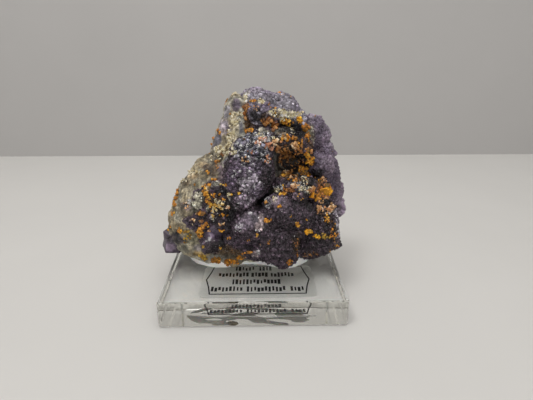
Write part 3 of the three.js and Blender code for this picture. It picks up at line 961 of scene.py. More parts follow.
def crests(piece):
    mesh, points = piece.data, pointsOf(piece)
    ends = np.zeros(len(mesh.edges) * 2, np.int32)
    mesh.edges.foreach_get("vertices", ends)
    normals = np.zeros(len(points) * 3, np.float32)
    mesh.vertices.foreach_get("normal", normals)
    others = ends.reshape(-1, 2)[:, ::-1].ravel()
    neighbours = np.bincount(ends, minlength=len(points))

    def around(values):
        return np.bincount(ends, weights=values[others], minlength=len(points)) / neighbours

    level = points
    for _ in range(3):
        level = np.column_stack([around(level[:, axis]) for axis in range(3)])
    rise = around(((points - level) * normals.reshape(-1, 3)).sum(axis=1))
    return np.clip(rise / rise.std(), -2, 2)


def patchShare(points, ragged, px, py, halfWide, halfTall):
    place, _ = spot(px, py)
    if place is None:  # beside the rock
        return np.zeros(len(points))
    away = (points - np.array(place)) @ np.array(camera.matrix_world.to_3x3()) / pixelAt(place)
    half = (halfWide, halfTall, brush["patchDeep"] * max(halfWide, halfTall))
    return fade(away, 0, half, ragged, "patch")


def fade(points, middle, half, ragged, kind):
    far, wander, soft = brush[kind]
    reach = np.sqrt((((points - middle) / half) ** 2).sum(axis=1))
    return np.clip((far - reach + wander * ragged) / soft, 0, 1)


brush = {
    "patch": (1.25, 0.5, 0.5),  # how far out the edge lies, how ragged it is and how soft
    "stain": (1.2, 0.6, 0.4),
    "hollow": (1.1, 0.2, 0.25),
    "patchDeep": 1.6,  # times its larger half
    "hollowDark": 0.9,
    "ragged": (2.2, 0.8),  # sizes of the coarse and the fine noise along the edges
    "fine": 0.5,  # share of the fine one
    "drift": 7,  # size of the change from one base tint to the other
    "driftShare": 1.2,
    "driftRagged": 0.4,
    "mottle": (1.6, 7),  # size and shift
    "mottleShare": 2,
    "reliefRagged": 0.5,
    "dark": 0.3,
    "gapDark": 0.8,  # painted shade in the gaps between white grains
    "fewGrains": 0.01,
    "gapGrains": 0.1,
    "whiteFrom": 0.4,  # crests higher than this turn white
    "white": (1.6, 0.85),  # how fast and how far
}


def paint(piece, first, second, contrast):
    points = pointsOf(piece)
    coarse, fine = (noiseAt(points, size) for size in brush["ragged"])
    ragged = coarse + brush["fine"] * fine
    share = 0.5 + brush["driftShare"] * noiseAt(points, brush["drift"]) + brush["driftRagged"] * ragged
    share = np.clip(share, 0, 1)[:, None]
    colours = linear(tints[first]) * (1 - share) + linear(tints[second]) * share

    def lay(tintName, share):
        return colours + (linear(tints[tintName]) - colours) * share[:, None]

    for *place, tintName, strength in patches + crystalShadeBeds:
        colours = lay(tintName, patchShare(points, ragged, *place) * strength)
    for middle, half, tintName, strength in stains:
        colours = lay(tintName, fade(points / mm, middle, half, ragged, "stain") * strength)
    # painted shade inside the hollows
    for middle, half in shadedHollows:
        colours = lay("ink", fade(points / mm, middle, half, ragged, "hollow") * brush["hollowDark"])
    sugar = np.full(len(points), brush["fewGrains"])
    for *place, amount in sugarPatches:
        sugar = np.maximum(sugar, patchShare(points, ragged, *place) * amount)
    crest = crests(piece)
    # painted light on crests and painted shade in gaps, with a random mottle; then darker all over, with more
    # painted shade in the gaps between white grains
    shadingAndMottle = crest + brush["reliefRagged"] * ragged + brush["mottleShare"] * noiseAt(points, *brush["mottle"])
    dark = brush["dark"] + brush["gapDark"] * sugar * (crest < 0)
    colours = colours * np.exp(contrast * shadingAndMottle - dark)[:, None]
    grow, most = brush["white"]
    white = np.clip(grow * sugar * np.clip(crest - brush["whiteFrom"], 0, 1), 0, most)
    grainShare = sugar * (brush["gapGrains"] + np.clip(crest, 0, 2))
    return {"skin": lay("sugar", white), "grains": grainShare, "under": colours}


def keepTint(piece, colours):
    attribute = piece.data.color_attributes.new("tint", "FLOAT_COLOR", "POINT")
    rows = np.column_stack([colours, np.ones(len(colours))])
    attribute.data.foreach_set("color", rows.astype(np.float32).ravel())


# Wulfenite clusters: px, py, half width, half height, crystals, tint and width of a crystal.

wulfenitePatches = [
    # crown and brow
    (281, 94, 3, 2, 12, "golden", 0.9),
    (291, 97, 7, 4, 5, "golden", 0.56),
    (270, 105, 2, 3, 8, "orange", 0.69),
    (247, 107, 4, 3, 22, "brown", 1.1),
    (254, 102, 4, 2, 11, "orange", 1.0),
    (246, 114, 2, 5, 16, "brown", 1.1),
    (247, 122, 2, 5, 12, "umberBrown", 1.2),
    (257, 109, 4, 3, 8, "peach", 0.94),
    (266, 120, 5, 3, 18, "brown", 1.3),
    (275, 113, 3, 5, 13, "golden", 0.62),
    (274, 126, 3, 5, 20, "brown", 1.4),
    (275, 123, 2, 4, 10, "rose", 1.2),
    (249, 131, 4, 2, 16, "orange", 0.9),
    (287, 122, 7, 3, 26, "golden", 1.0),
    (299, 120, 3, 3, 16, "yellow", 1.01),
    # shoulder
    (263, 139, 3, 2, 12, "rose", 1.09),
    (258, 144, 3, 2, 10, "rose", 1.09),
    (269, 146, 4, 3, 14, "rose", 1.01),
    (277, 142, 5, 3, 26, "peach", 1.0),
    (289, 138, 8, 3, 26, "orange", 1.0),
    (307, 154, 3, 4, 16, "golden", 0.9),
    (294, 145, 4, 3, 18, "peach", 1.1),
    (299, 149, 4, 4, 16, "brown", 1.0),
    (293, 162, 6, 5, 18, "umberBrown", 0.9),
    (284, 150, 9, 5, 48, "brown", 0.95),
    (245, 160, 4, 3, 14, "peach", 0.62),
    (268, 159, 4, 4, 14, "rose", 0.75),
    (250, 151, 3, 2, 4, "rose", 0.8),
    (291, 155, 5, 4, 32, "brown", 0.9),
    (285, 175, 4, 2, 14, "golden", 0.9),
    # temple, from the top down
    (306, 127, 4, 4, 26, "orange", 1.3),
    (307, 136, 2, 6, 20, "orange", 1.1),
    (300, 143, 3, 4, 17, "orange", 0.75),
    (308, 151, 3, 4, 18, "brown", 0.9),
    (310, 161, 4, 5, 50, "golden", 1.0),
    (301, 170, 2, 5, 10, "orange", 1.1),
    (283, 160, 5, 5, 16, "brown", 1.0),
    (290, 168, 7, 4, 8, "brown", 0.69),
    (300, 163, 4, 5, 15, "brown", 0.69),
    (316, 176, 3, 3, 5, "brown", 0.9),
    # ledge
    (288, 174, 6, 3, 39, "brown", 0.7),
    (286, 172, 3, 2, 12, "peach", 0.7),
    (294, 178, 8, 4, 24, "orange", 0.7),
    (293, 177, 5, 2, 15, "peach", 0.7),
    (307, 175, 4, 3, 20, "orange", 0.81),
    (304, 181, 6, 4, 12, "peach", 0.62),
    (283, 194, 4, 2, 38, "golden", 0.86),
    (289, 190, 6, 2, 30, "brown", 0.86),
    (295, 186, 4, 2, 20, "peach", 0.8),
    (284, 186, 3, 2, 9, "golden", 0.5),
    (320, 183, 5, 2, 8, "umberBrown", 1.0),
    (316, 196, 4, 3, 20, "orange", 0.9),
    (322, 202, 3, 2, 10, "peach", 0.8),
    (300, 197, 5, 3, 6, "golden", 0.56),
    (313, 188, 2, 2, 9, "peach", 0.75),
    # right ball
    (321, 209, 5, 3, 22, "peach", 0.9),
    (331, 208, 5, 4, 34, "peach", 0.8),
    (323, 213, 5, 4, 10, "brown", 0.75),
    (328, 219, 4, 5, 13, "golden", 0.75),
    (297, 224, 2, 2, 8, "golden", 1.0),
    (308, 231, 3, 3, 12, "yellow", 1.3),
    (297, 224, 2, 2, 6, "orange", 1.0),
    (324, 178, 3, 3, 14, "peach", 1.0),
    (309, 190, 3, 3, 8, "peach", 0.9),
    (318, 236, 4, 2, 10, "yellow", 0.86),
    (325, 236, 5, 3, 9, "ochre", 0.9),
    (334, 232, 4, 9, 16, "orange", 0.69),
    (336, 245, 3, 5, 10, "orange", 0.75),
    (331, 251, 3, 2, 6, "golden", 0.69),
    (310, 254, 8, 3, 21, "brown", 0.69),
    (297, 243, 3, 5, 9, "brown", 0.7),
    # foot
    (268, 220, 3, 2, 10, "orange", 1.1),
    (290, 216, 1, 1, 3, "golden", 0.7),
    (307, 220, 1, 1, 3, "golden", 0.62),
    (257, 236, 1, 2, 4, "golden", 0.69),
    (269, 242, 1, 2, 4, "orange", 0.75),
    (249, 240, 2, 1, 4, "orange", 0.69),
    (260, 244, 1, 1, 3, "orange", 0.62),
    (279, 206, 2, 1, 4, "golden", 0.62),
    (266, 203, 1, 2, 6, "golden", 0.69),
    (290, 262, 3, 3, 12, "orange", 0.75),
    (297, 253, 1, 5, 8, "orange", 0.69),
    # low rim
    (216, 260, 4, 3, 30, "orange", 1.1),
    (204, 258, 4, 2, 14, "ochre", 1.0),
    (229, 262, 4, 3, 24, "orange", 1.0),
    (240, 257, 4, 2, 16, "orange", 0.9),
    (248, 253, 6, 1, 9, "orange", 0.8),
    (201, 256, 5, 1, 14, "ochre", 0.8),
    (203, 247, 2, 1, 3, "ochre", 0.8),
    # left side
    (178, 191, 2, 3, 14, "orange", 1.0),
    (176, 198, 2, 3, 8, "orange", 0.9),
    (175, 205, 2, 3, 5, "orange", 0.9),
    (173, 213, 2, 2, 5, "golden", 0.8),
    (170, 228, 3, 3, 4, "golden", 0.7),
    (180, 230, 2, 3, 7, "golden", 0.9),
    (187, 232, 3, 2, 8, "ochre", 0.8),
    (189, 236, 2, 3, 5, "ochre", 0.8),
    (186, 240, 3, 3, 6, "ochre", 0.8),
    (186, 205, 3, 3, 6, "peach", 0.8),
    (195, 185, 1, 1, 3, "orange", 0.9),
    (214, 179, 2, 1, 6, "orange", 0.9),
    (210, 184, 3, 2, 8, "orange", 0.8),
    (203, 191, 1, 1, 4, "golden", 0.9),
    (206, 195, 3, 4, 11, "golden", 0.9),
    (209, 202, 3, 2, 8, "golden", 0.9),
    (214, 195, 2, 2, 6, "orange", 0.9),
    (219, 195, 2, 1, 4, "golden", 0.8),
    (225, 185, 2, 1, 4, "golden", 0.9),
    (221, 184, 1, 1, 2, "sand", 0.8),
    (232, 195, 2, 1, 4, "golden", 0.9),
    (238, 193, 3, 1, 6, "golden", 0.8),
    (224, 200, 2, 1, 2, "golden", 1.0),
    (222, 206, 4, 3, 12, "sand", 0.9),
    (228, 208, 3, 3, 6, "peach", 0.9),
    (215, 207, 2, 5, 16, "sand", 0.9),
    (213, 214, 1, 4, 8, "sand", 0.9),
    (222, 215, 2, 2, 5, "golden", 1.1),
    (228, 216, 1, 1, 3, "golden", 0.9),
    (222, 224, 3, 1, 7, "peach", 0.9),
    (221, 230, 3, 1, 7, "golden", 1.0),
    (202, 213, 3, 2, 14, "orange", 1.1),
    (197, 214, 2, 1, 6, "peach", 0.9),
    (193, 221, 3, 3, 9, "peach", 0.8),
    (201, 222, 3, 2, 8, "brown", 0.9),
    (204, 227, 3, 3, 9, "brown", 1.0),
    (200, 232, 3, 3, 16, "golden", 1.1),
    (208, 225, 2, 2, 6, "golden", 0.8),
    (209, 231, 1, 1, 4, "peach", 0.8),
    (220, 247, 1, 1, 3, "golden", 0.8),
    (222, 155, 3, 2, 5, "brown", 0.8),
    (217, 165, 2, 4, 5, "brown", 0.8),
    (230, 113, 1, 1, 2, "orange", 0.8),
    (219, 131, 2, 3, 5, "orange", 0.8),
    (244, 140, 1, 2, 2, "orange", 0.8),
    (333, 148, 2, 8, 6, "brown", 0.7),
    (316, 117, 3, 2, 4, "golden", 1.0),
    # chains down the left patch
    (204, 187, 2, 3, 8, "golden", 0.9),
    (205, 193, 1, 2, 5, "orange", 0.9),
    (208, 200, 2, 4, 10, "golden", 0.85),
    (211, 206, 2, 2, 6, "golden", 0.9),
    (205, 224, 2, 2, 6, "orange", 0.9),
    (201, 228, 2, 3, 12, "orange", 1.0),
    (201, 235, 2, 3, 12, "golden", 1.0),
    (229, 239, 1, 2, 4, "orange", 0.9),
    # left side and low rim again
    (176, 192, 2, 3, 8, "orange", 1.0),
    (174, 204, 2, 3, 7, "orange", 0.9),
    (217, 162, 2, 4, 6, "orange", 0.9),
    (208, 172, 2, 2, 4, "golden", 0.8),
    (236, 262, 3, 2, 12, "orange", 1.0),
    (243, 257, 3, 2, 10, "orange", 0.9),
    (250, 252, 3, 1, 8, "orange", 0.8),
    # from the temple down to the blade
    (304, 170, 3, 4, 14, "orange", 1.0),
    (318, 179, 4, 3, 5, "orange", 0.8),
    (323, 182, 3, 2, 5, "brown", 0.8),
]
bladePlates = [  # small plates round the blade: px, py, lift, width, turn and tint
    (319, 186, 0.3, 2.2, -20, "umberBrown"),
    (323, 186, 0.3, 2.0, -8, "umberBrown"),
    (327, 186, 0.3, 1.8, 25, "darkOchre"),
    (326, 198, 0.4, 1.6, 10, "peach"),
    (315, 197, 0.6, 2.0, 60, "orange"),
    (314, 189, 0.7, 1.8, 35, "brown"),
    (312, 191, 0.7, 1.8, 10, "brown"),
    (313, 195, 0.7, 2.2, 50, "golden"),
    (318, 199, 0.6, 2.0, 20, "orange"),
    (330, 188, 0.3, 1.6, 60, "golden"),
]
# painted shade under and between the crystals of each cluster, darker where the cluster has more crystals
crystalShadeBeds = [(*place, "soot", min(0.85, count / 16)) for *place, count, _, _ in wulfenitePatches]

baseTints = {  # two tints, and contrast: how strongly painted light on crests and painted shade in gaps are laid on
    "quartz_rock": ("quartz", "stoneGrey", 0.32),
    "fluorite_front": ("dusk", "night", 0.35),
    "fluorite_top": ("greyViolet", "violet", 0.3),
    "fluorite_right": ("violet", "mauve", 0.15),
    "fluorite_cubes": ("plum", "wine", 0.1),
    "fluorite_left": ("wine", "plum", 0.1),
}
rockTints = {}
for name, (first, second, contrast) in baseTints.items():
    rockTints[name] = paint(rocks[name], first, second, contrast)
    keepTint(rocks[name], rockTints[name]["skin"])
print("tints painted")


def glowing(name, ior, weight, depth, radius, gloss=0.5):  # light goes a little way in, depth in millimetres
    return Wiring(
        name,
        {
            "IOR": ior,
            "Specular IOR Level": gloss,
            "Subsurface Weight": weight,
            "Subsurface Scale": depth * mm,
            "Subsurface Radius": radius,
        },
    )


quartzFinish = {  # sizes are millimetres, and shades multiply the tint
    "cloudSize": 3,
    "cloudShades": (0.5, 1.5),
    "fleckSize": 0.5,
    "fleckShades": (0.6, 1.4),
    "roughness": (0.4, 0.75),
    "dentSize": 0.8,
    "dentDepth": 0.3,
}


def quartzMaterial():
    wiring = glowing("brokenQuartz", 1.54, 0.2, 1.2, (1, 0.9, 0.7))
    clouds = wiring.noise(quartzFinish["cloudSize"], 6, 0.7)
    specks = wiring.noise(quartzFinish["fleckSize"], 3)
    cloudy = wiring.spread(clouds, *quartzFinish["cloudShades"], 0.3, 0.7)
    flecks = wiring.spread(specks, *quartzFinish["fleckShades"], 0.3, 0.7)
    return wiring.finish(
        Base_Color=wiring.shaded(wiring.tint(), cloudy, flecks),
        Roughness=wiring.spread(wiring.noise(1.5), *quartzFinish["roughness"], 0.3, 0.7),
        Normal=wiring.bump(wiring.noise(quartzFinish["dentSize"], 5), quartzFinish["dentDepth"]),
    )


def fluoriteMaterial(name, glow, grain, contrast, shine):
    wiring = glowing(name, 1.434, glow, 1.2, (1, 0.75, 1))
    cloudy = wiring.spread(wiring.noise(2, 4, 0.6), 0.7, 1.35, 0.28, 0.72)
    flecks = wiring.spread(wiring.cells(grain), 1 - contrast, 1 + contrast)
    seams = wiring.spread(wiring.cells(grain, "Distance", "DISTANCE_TO_EDGE"), 1 - contrast, 1, 0, 0.12)
    return wiring.finish(
        Base_Color=wiring.shaded(wiring.tint(), cloudy, flecks, seams),
        Roughness=wiring.spread(wiring.noise(0.6), shine, shine + 0.35, 0.3, 0.7),
        Normal=wiring.bump(seams, 0.2 * grain),
    )


rocks["quartz_rock"].data.materials.append(quartzMaterial())
fluoriteFinish = {  # subsurface share, grain size, contrast and shine
    "fluorite_front": (0.1, 0.8, 0.6, 0.3),
    "fluorite_top": (0.15, 0.8, 0.5, 0.5),
    "fluorite_right": (0.5, 2.0, 0.15, 0.25),
    "fluorite_cubes": (0.25, 1.5, 0.1, 0.12),
    "fluorite_left": (0.3, 1.5, 0.1, 0.2),
}
for name, finish in fluoriteFinish.items():
    rocks[name].data.materials.append(fluoriteMaterial(f"{name}Skin", *finish))


# Grains and crystals: one is modelled, then copied many times into one mesh.


def takeForm(model):
    editAll(model)
    bpy.ops.mesh.quads_convert_to_tris()
    leaveEdit()
    form = pointsOf(model), np.array([f.vertices[:] for f in model.data.polygons])
    bpy.data.objects.remove(model)
    return form


def modelGrain():
    bpy.ops.mesh.primitive_cube_add(size=1)
    return takeForm(bpy.context.object)


def modelNub():
    bpy.ops.mesh.primitive_ico_sphere_add(subdivisions=1, radius=0.5)
    nub = bpy.context.object
    roughNub = np.random.default_rng(3)
    for v in nub.data.vertices:
        v.co *= roughNub.uniform(0.75, 1.2)
    return takeForm(nub)


def modelTablet(thickness, bevelWidth):
    bpy.ops.mesh.primitive_cylinder_add(vertices=4, radius=math.sqrt(0.5), depth=thickness)
    editAll(bpy.context.object)
    bpy.ops.mesh.bevel(offset=bevelWidth, segments=1, affect="EDGES")
    return takeForm(leaveEdit())


def turns(count):  # any way round, as matrices
    q = random.normal(size=(count, 4))
    w, x, y, z = (q / np.linalg.norm(q, axis=1, keepdims=True)).T
    return np.array([
        [1 - 2 * (y * y + z * z), 2 * (x * y - z * w), 2 * (x * z + y * w)],
        [2 * (x * y + z * w), 1 - 2 * (x * x + z * z), 2 * (y * z - x * w)],
        [2 * (x * z - y * w), 2 * (y * z + x * w), 1 - 2 * (x * x + y * y)],
    ]).transpose(2, 0, 1)


def joinedCopies(name, form, places, facing, sizes, colours):
    points, faces = form
    places, facing, sizes = (np.array(values) for values in (places, facing, sizes))
    count = len(places)
    placed = np.einsum("nij,nkj->nki", facing, points[None] * sizes[:, None, :]) + places[:, None, :]
    allFaces = (faces[None] + (np.arange(count) * len(points))[:, None, None]).reshape(-1, 3)
    mesh = bpy.data.meshes.new(name)
    mesh.vertices.add(count * len(points))
    mesh.vertices.foreach_set("co", placed.astype(np.float32).ravel())
    mesh.loops.add(allFaces.size)
    mesh.loops.foreach_set("vertex_index", allFaces.ravel().astype(np.int32))
    mesh.polygons.add(len(allFaces))
    mesh.polygons.foreach_set("loop_start", np.arange(0, allFaces.size, 3, dtype=np.int32))
    mesh.update(calc_edges=True)
    mesh.validate()
    piece = bpy.data.objects.new(name, mesh)
    bpy.context.collection.objects.link(piece)
    keepTint(piece, np.repeat(np.clip(colours, 0, 1), len(points), axis=0))
    print(name, count, "copies", len(allFaces), "triangles")
    return piece


def pickedPoints(piece, count, share):  # by chance on the piece's faces, more of them where share is high
    mesh = piece.data
    mesh.calc_loop_triangles()
    corners = np.zeros(len(mesh.loop_triangles) * 3, np.int32)
    mesh.loop_triangles.foreach_get("vertices", corners)
    corners = corners.reshape(-1, 3)
    points = pointsOf(piece)
    a, b, c = (points[corners[:, i]] for i in range(3))
    across = np.cross(b - a, c - a)
    area = np.linalg.norm(across, axis=1) + 1e-15  # so that none is 0
    weight = area * share[corners].mean(axis=1)
    chosen = random.choice(len(corners), count, p=weight / weight.sum())
    u, v = random.random((2, count))
    flip = u + v > 1
    u[flip], v[flip] = 1 - u[flip], 1 - v[flip]
    places = a[chosen] + u[:, None] * (b - a)[chosen] + v[:, None] * (c - a)[chosen]
    return places, (across / area[:, None])[chosen], corners[chosen, 0]


def grainMaterial(name, glow, roughness):
    wiring = glowing(name, 1.45, glow, 0.8, (1, 0.8, 1))
    return wiring.finish(
        Base_Color=wiring.shaded(wiring.tint(), wiring.spread(wiring.noise(0.3, 3), 0.8, 1.2, 0.3, 0.7)),
        Roughness=wiring.spread(wiring.noise(0.8, 2), roughness, roughness + 0.2, 0.35, 0.65),
    )


druse = {  # dark grains, their size and how their shades vary, and material, glow and roughness
    "fluorite_front": (15500, 0.5, 0.55, "druse", 0.1, 0.2),
    "fluorite_top": (5500, 0.55, 0.3, "dullDruse", 0.1, 0.5),
    "fluorite_right": (5000, 0.7, 0.12, "paleDruse", 0.4, 0.4),
}
calmSpots = [  # smooth fluorite with few grains: px, py, half width and half height
    (258, 253, 3, 4),
    (280, 205, 9, 6),
    (262, 203, 8, 7),
    (250, 213, 4, 2),
    (212, 240, 9, 14),
    (247, 220, 8, 8),
    (262, 221, 5, 9),
]
whiteSugar = {"fluorite_front": (9000, 0.31), "fluorite_top": (1400, 0.28), "quartz_rock": (600, 0.3)}
grains = {
    "sizeSpread": 0.25,
    "sides": (0.7, 1.25),  # times the size
    "whereCalm": 0.02,
    "brighter": 0.1,
    "gather": 1.5,  # how much white grains keep to the crests
    "whiteShare": 0.4,
    "greyLevel": 0.25,  # of those that aren't white
    "whiteFinish": ("whiteSugar", 0.25, 0.3),  # material, glow and roughness
}


def grow(name, form, base, count, size, share, tone, material):
    places, _, nearest = pickedPoints(rocks[base], count, share)
    shades = tone(rockTints[base]["under"][nearest])
    spread = np.exp(random.normal(0, grains["sizeSpread"], (count, 1)))
    sizes = size * mm * spread * random.uniform(*grains["sides"], (count, 3))
    piece = joinedCopies(name, form, places, turns(count), sizes, shades)
    piece.data.materials.append(material)
    ride(piece, rockForms[base]["slot"])


def darkTone(vary):
    return lambda under: under * np.exp(random.normal(grains["brighter"], vary, (len(under), 1)))


def whiteTone(under):
    isWhite = random.random((len(under), 1)) < grains["whiteShare"]
    return linear(tints["sugar"]) * np.where(isWhite, 1, grains["greyLevel"])


def buildDruse():
    grain, nub = modelGrain(), modelNub()
    for base, (count, size, vary, *finish) in druse.items():
        calm = np.zeros(len(rocks[base].data.vertices))
        for calmSpot in calmSpots:
            calm = np.maximum(calm, patchShare(pointsOf(rocks[base]), 0, *calmSpot))
        share = 1 + grains["whereCalm"] - calm
        grow(f"{base}_druse", grain, base, count, size, share, darkTone(vary), grainMaterial(*finish))
    whiteGrains = grainMaterial(*grains["whiteFinish"])
    for base, (count, size) in whiteSugar.items():
        share = rockTints[base]["grains"] ** grains["gather"]
        grow(f"{base}_sugar", nub, base, count, size, share, whiteTone, whiteGrains)


buildDruse()

# Cream crust on the ridge and over the crown: px, py, half width, half height and nubs.

creamPatches = [
    (235, 119, 3, 7, 260),
    (240, 116, 3, 5, 110),
    (231, 134, 4, 8, 280),
    (224, 149, 10, 4, 620),
    (231, 146, 3, 4, 160),
    (231, 152, 6, 3, 260),
    (236, 92, 7, 3, 340),
    (278, 112, 10, 3, 500),
    (294, 114, 7, 3, 380),
    (283, 117, 3, 4, 140),
    (262, 102, 4, 2, 110),
    (247, 97, 3, 4, 120),
    (217, 158, 8, 3, 110),
    (218, 200, 3, 3, 140),
    (229, 196, 2, 3, 60),
    (213, 214, 1, 5, 90),
    (194, 172, 9, 2, 160),
    (183, 181, 4, 2, 60),
    (293, 130, 3, 4, 70),
    (283, 137, 4, 1, 40),
    (275, 199, 2, 2, 50),
    (276, 114, 3, 3, 80),
    (259, 136, 5, 2, 80),
    (277, 190, 3, 3, 60),
    (309, 190, 3, 3, 40),
    (304, 180, 4, 6, 90),
    (302, 189, 4, 3, 80),
    (276, 192, 2, 3, 50),
    (228, 149, 5, 3, 180),
    (272, 138, 3, 2, 50),
]
cream = {
    "bareBelow": -0.12,  # where the noise is lower, the rock stays bare
    "noise": 1.5,
    "size": 0.32,
    "sizeSpread": (0.25, 0.35),
    "sides": (0.7, 1.3),
    "pile": 0.9,  # times the size
    "tints": ["e4dac0", "d0c29c", "b4a27a", "7c6a4a"],
    "shares": [0.35, 0.35, 0.2, 0.1],
    "finish": ("creamCrust", 0.2, 0.45),  # material, glow and roughness
}


def frontSpots(px, py, halfWide, halfTall, count):
    for _ in range(count):
        angle, reach = random.uniform(0, math.tau), math.sqrt(random.random())
        place, normal = spot(px + halfWide * reach * math.cos(angle), py + halfTall * reach * math.sin(angle))
        if place is not None:
            yield np.array(place), np.array(normal)


def buildCream():
    places, sizes, tones = [], [], []
    for *patch, count in creamPatches:
        for place, normal in frontSpots(*patch, count):
            if noise.noise(Vector(place) / (cream["noise"] * mm)) > cream["bareBelow"]:
                size = cream["size"] * mm * math.exp(random.normal(*cream["sizeSpread"]))
                places.append(place + normal * size * random.uniform(0, cream["pile"]))
                sizes.append(size * random.uniform(*cream["sides"], 3))
                tones.append(linear(cream["tints"][random.choice(4, p=cream["shares"])]))
    facing = turns(len(places))
    piece = joinedCopies("cream_crust", modelNub(), places, facing, sizes, tones)
    piece.data.materials.append(grainMaterial(*cream["finish"]))
    ride(piece, "quartz")


buildCream()
print("druse and cream crust grown")

# Wulfenite crystals

wulfeniteTints = {
    "golden": ["c8841a", "d89a2a", "a86c14", "e0aa40"],
    "orange": ["c47e1a", "a4681a", "d4922c", "90601a"],
    "peach": ["b4885a", "c89a6c", "a87448", "e0c4a4"],
    "rose": ["b07858", "a0644a", "e0ccc0", "c08a6c"],
    "yellow": ["d8981a", "e6ae2c", "c08410", "a87210"],
    "ochre": ["a88420", "9a741c", "b89430", "86621a"],
    "darkOchre": ["5a4010", "68490e", "7a5a12", "4a340e"],
    "brown": ["a06c34", "8e5a2a", "7a4a1e", "b4804a"],
    "sand": ["d4b878", "c8a050", "b88c3c", "e0cc9c"],
    "umberBrown": ["5a3a18", "46300f", "6e4a1c", "38240c"],
}
wulfenite = {
    "thickness": 0.5,  # times the width
    "bevel": 0.07,
    "sizes": (0.5, 1.2),  # times the cluster's width
    "thick": (0.8, 1.6),
    "lean": 0.6,  # how far the tablets turn from standing on edge
    "sunk": -0.1,
    "pile": 0.45,  # crystals of a full cluster stand on each other
    "full": 10,
    "low": 0.15,
    "shadeRange": 0.3,
    "brightest": 0.2,
    "gloss": 0.3,
    "plateFacing": (-0.55, -0.8, 0.1),
    "plateLean": 0.35,
    "plateThick": 0.9,  # millimetres
}
farWulfenite = {  # crystals on the back of the rock
    "count": 420,
    "fromY": 10,
    "noise": (9, 4),  # size and shift
    "noiseFrom": 0.22,
    "sizes": (0.5, 1.3),
    "low": 0.2,
}


def wulfeniteMaterial(name, gloss):
    wiring = glowing(name, 1.7, 0.15, 0.8, (1, 0.5, 0.15), gloss)
    return wiring.finish(
        Base_Color=wiring.shaded(wiring.tint(), wiring.spread(wiring.noise(0.5, 3), 0.75, 1.25, 0.3, 0.7)),
        Roughness=wiring.spread(wiring.noise(0.8, 2), 0.35, 0.55, 0.35, 0.65),
    )


def unit(vector):
    return vector / np.linalg.norm(vector)


def sideOn(normal):
    axis = unit(unit(np.cross(normal, random.normal(size=3))) + wulfenite["lean"] * random.normal(size=3))
    first = unit(np.cross(axis, random.normal(size=3)))
    return np.column_stack([first, np.cross(axis, first), axis])


def tabletOn(place, normal, size, highest, tintName):
    lift = random.uniform(wulfenite["sunk"], highest)
    facing = sideOn(normal)
    sides = [size, size, size * random.uniform(*wulfenite["thick"])]
    shade = linear(wulfeniteTints[tintName][random.integers(4)])
    bright = min(wulfenite["brightest"], random.normal(0, wulfenite["shadeRange"]))
    return place + normal * size * lift, facing, sides, shade * math.exp(bright)


def plateAt(px, py, lift, width, turn, tintName):
    facing = np.array(wulfenite["plateFacing"])
    axis = unit(unit(facing) + wulfenite["plateLean"] * random.normal(size=3))
    across = -unit(np.cross(axis, (0, 0, 1)))
    corner = math.radians(turn)
    first = across * math.cos(corner) + np.cross(axis, across) * math.sin(corner)
    sides = [width * mm, width * mm, wulfenite["plateThick"] * mm]
    shade = linear(wulfeniteTints[tintName][random.integers(4)])
    place = np.array(spot(px, py)[0]) + axis * lift * mm
    return place, np.column_stack([first, np.cross(axis, first), axis]), sides, shade


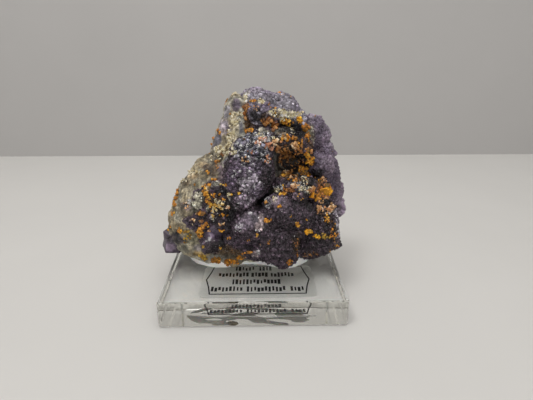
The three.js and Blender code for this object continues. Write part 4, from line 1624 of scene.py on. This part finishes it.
def buildWulfenite():
    tablet = modelTablet(wulfenite["thickness"], wulfenite["bevel"])
    crystals = []
    for *patch, count, tintName, width in wulfenitePatches:
        highest = wulfenite["pile"] if count > wulfenite["full"] else wulfenite["low"]
        for place, normal in frontSpots(*patch, count):
            size = width * mm * random.uniform(*wulfenite["sizes"])
            crystals.append(tabletOn(place, normal, size, highest, tintName))
    rock = rocks["quartz_rock"]
    points = pointsOf(rock)
    grown = noiseAt(points, *farWulfenite["noise"]) > farWulfenite["noiseFrom"]
    behind = (points[:, 1] > farWulfenite["fromY"] * mm) * grown
    places, normals, _ = pickedPoints(rock, farWulfenite["count"], behind.astype(float))
    for place, normal in zip(places, normals):
        size = mm * random.uniform(*farWulfenite["sizes"])
        crystals.append(tabletOn(place, normal, size, farWulfenite["low"], "orange"))
    crystals += [plateAt(*plate) for plate in bladePlates]
    piece = joinedCopies("wulfenite_crystals", tablet, *zip(*crystals))
    piece.data.materials.append(wulfeniteMaterial("wulfenite", wulfenite["gloss"]))
    ride(piece, "wulfenite", *[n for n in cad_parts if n.startswith("wulfenite")])


buildWulfenite()

blade = {
    "corners": [(316, 190), (321, 189), (327, 187.8), (331.7, 191.2), (329, 196), (323, 198.5), (316, 198.5)],
    "middle": (325, 191),
    "facing": (-0.3, -0.92, 0.25),
    "lift": 1.7,  # millimetres
    "thick": 3.8,
    "bevel": 0.15,
    "voxel": 0.13,
    "layers": [("ridges", 1.6, -0.5), ("ridges", 0.7, -0.25), ("clouds", 0.5, 0.15)],
    "tints": ("8c5c28", "aa7808"),  # left and right
    # strength of the painted light on crests and painted shade in gaps
    "contrast": 0.4,
    "gloss": 0.12,
    "flatTo": 30,  # degrees between faces that are shaded as one
}


def buildBlade():
    facing = Vector(blade["facing"]).normalized()
    middle = spot(*blade["middle"])[0] + facing * blade["lift"] * mm
    bpy.ops.mesh.primitive_circle_add(vertices=len(blade["corners"]), radius=1, fill_type="NGON")
    piece = bpy.context.object
    piece.name = "wulfenite_blade"
    for v, corner in zip(piece.data.vertices, blade["corners"]):
        sight = sightLine(*corner)
        v.co = eye + sight * (middle - eye).dot(facing) / sight.dot(facing)
    editAll(piece)
    thicken(-facing * blade["thick"] * mm)
    shape(piece, "BEVEL", width=blade["bevel"] * mm, segments=1, limit_method="ANGLE")
    shape(piece, "REMESH", mode="VOXEL", voxel_size=blade["voxel"] * mm)
    roughen(piece, blade["layers"])
    bpy.ops.object.shade_smooth_by_angle(angle=math.radians(blade["flatTo"]))
    points = pointsOf(piece)
    left, right = (linear(tint) for tint in blade["tints"])
    share = (points[:, :1] - points[:, 0].min()) / np.ptp(points[:, 0])
    # tint runs from left to right, with painted light on crests and painted shade in gaps
    keepTint(piece, (left + (right - left) * share) * np.exp(blade["contrast"] * crests(piece)[:, None]))
    piece.data.materials.append(wulfeniteMaterial("wulfeniteBlade", blade["gloss"]))
    ride(piece, "wulfenite")


buildBlade()
print("wulfenite grown")
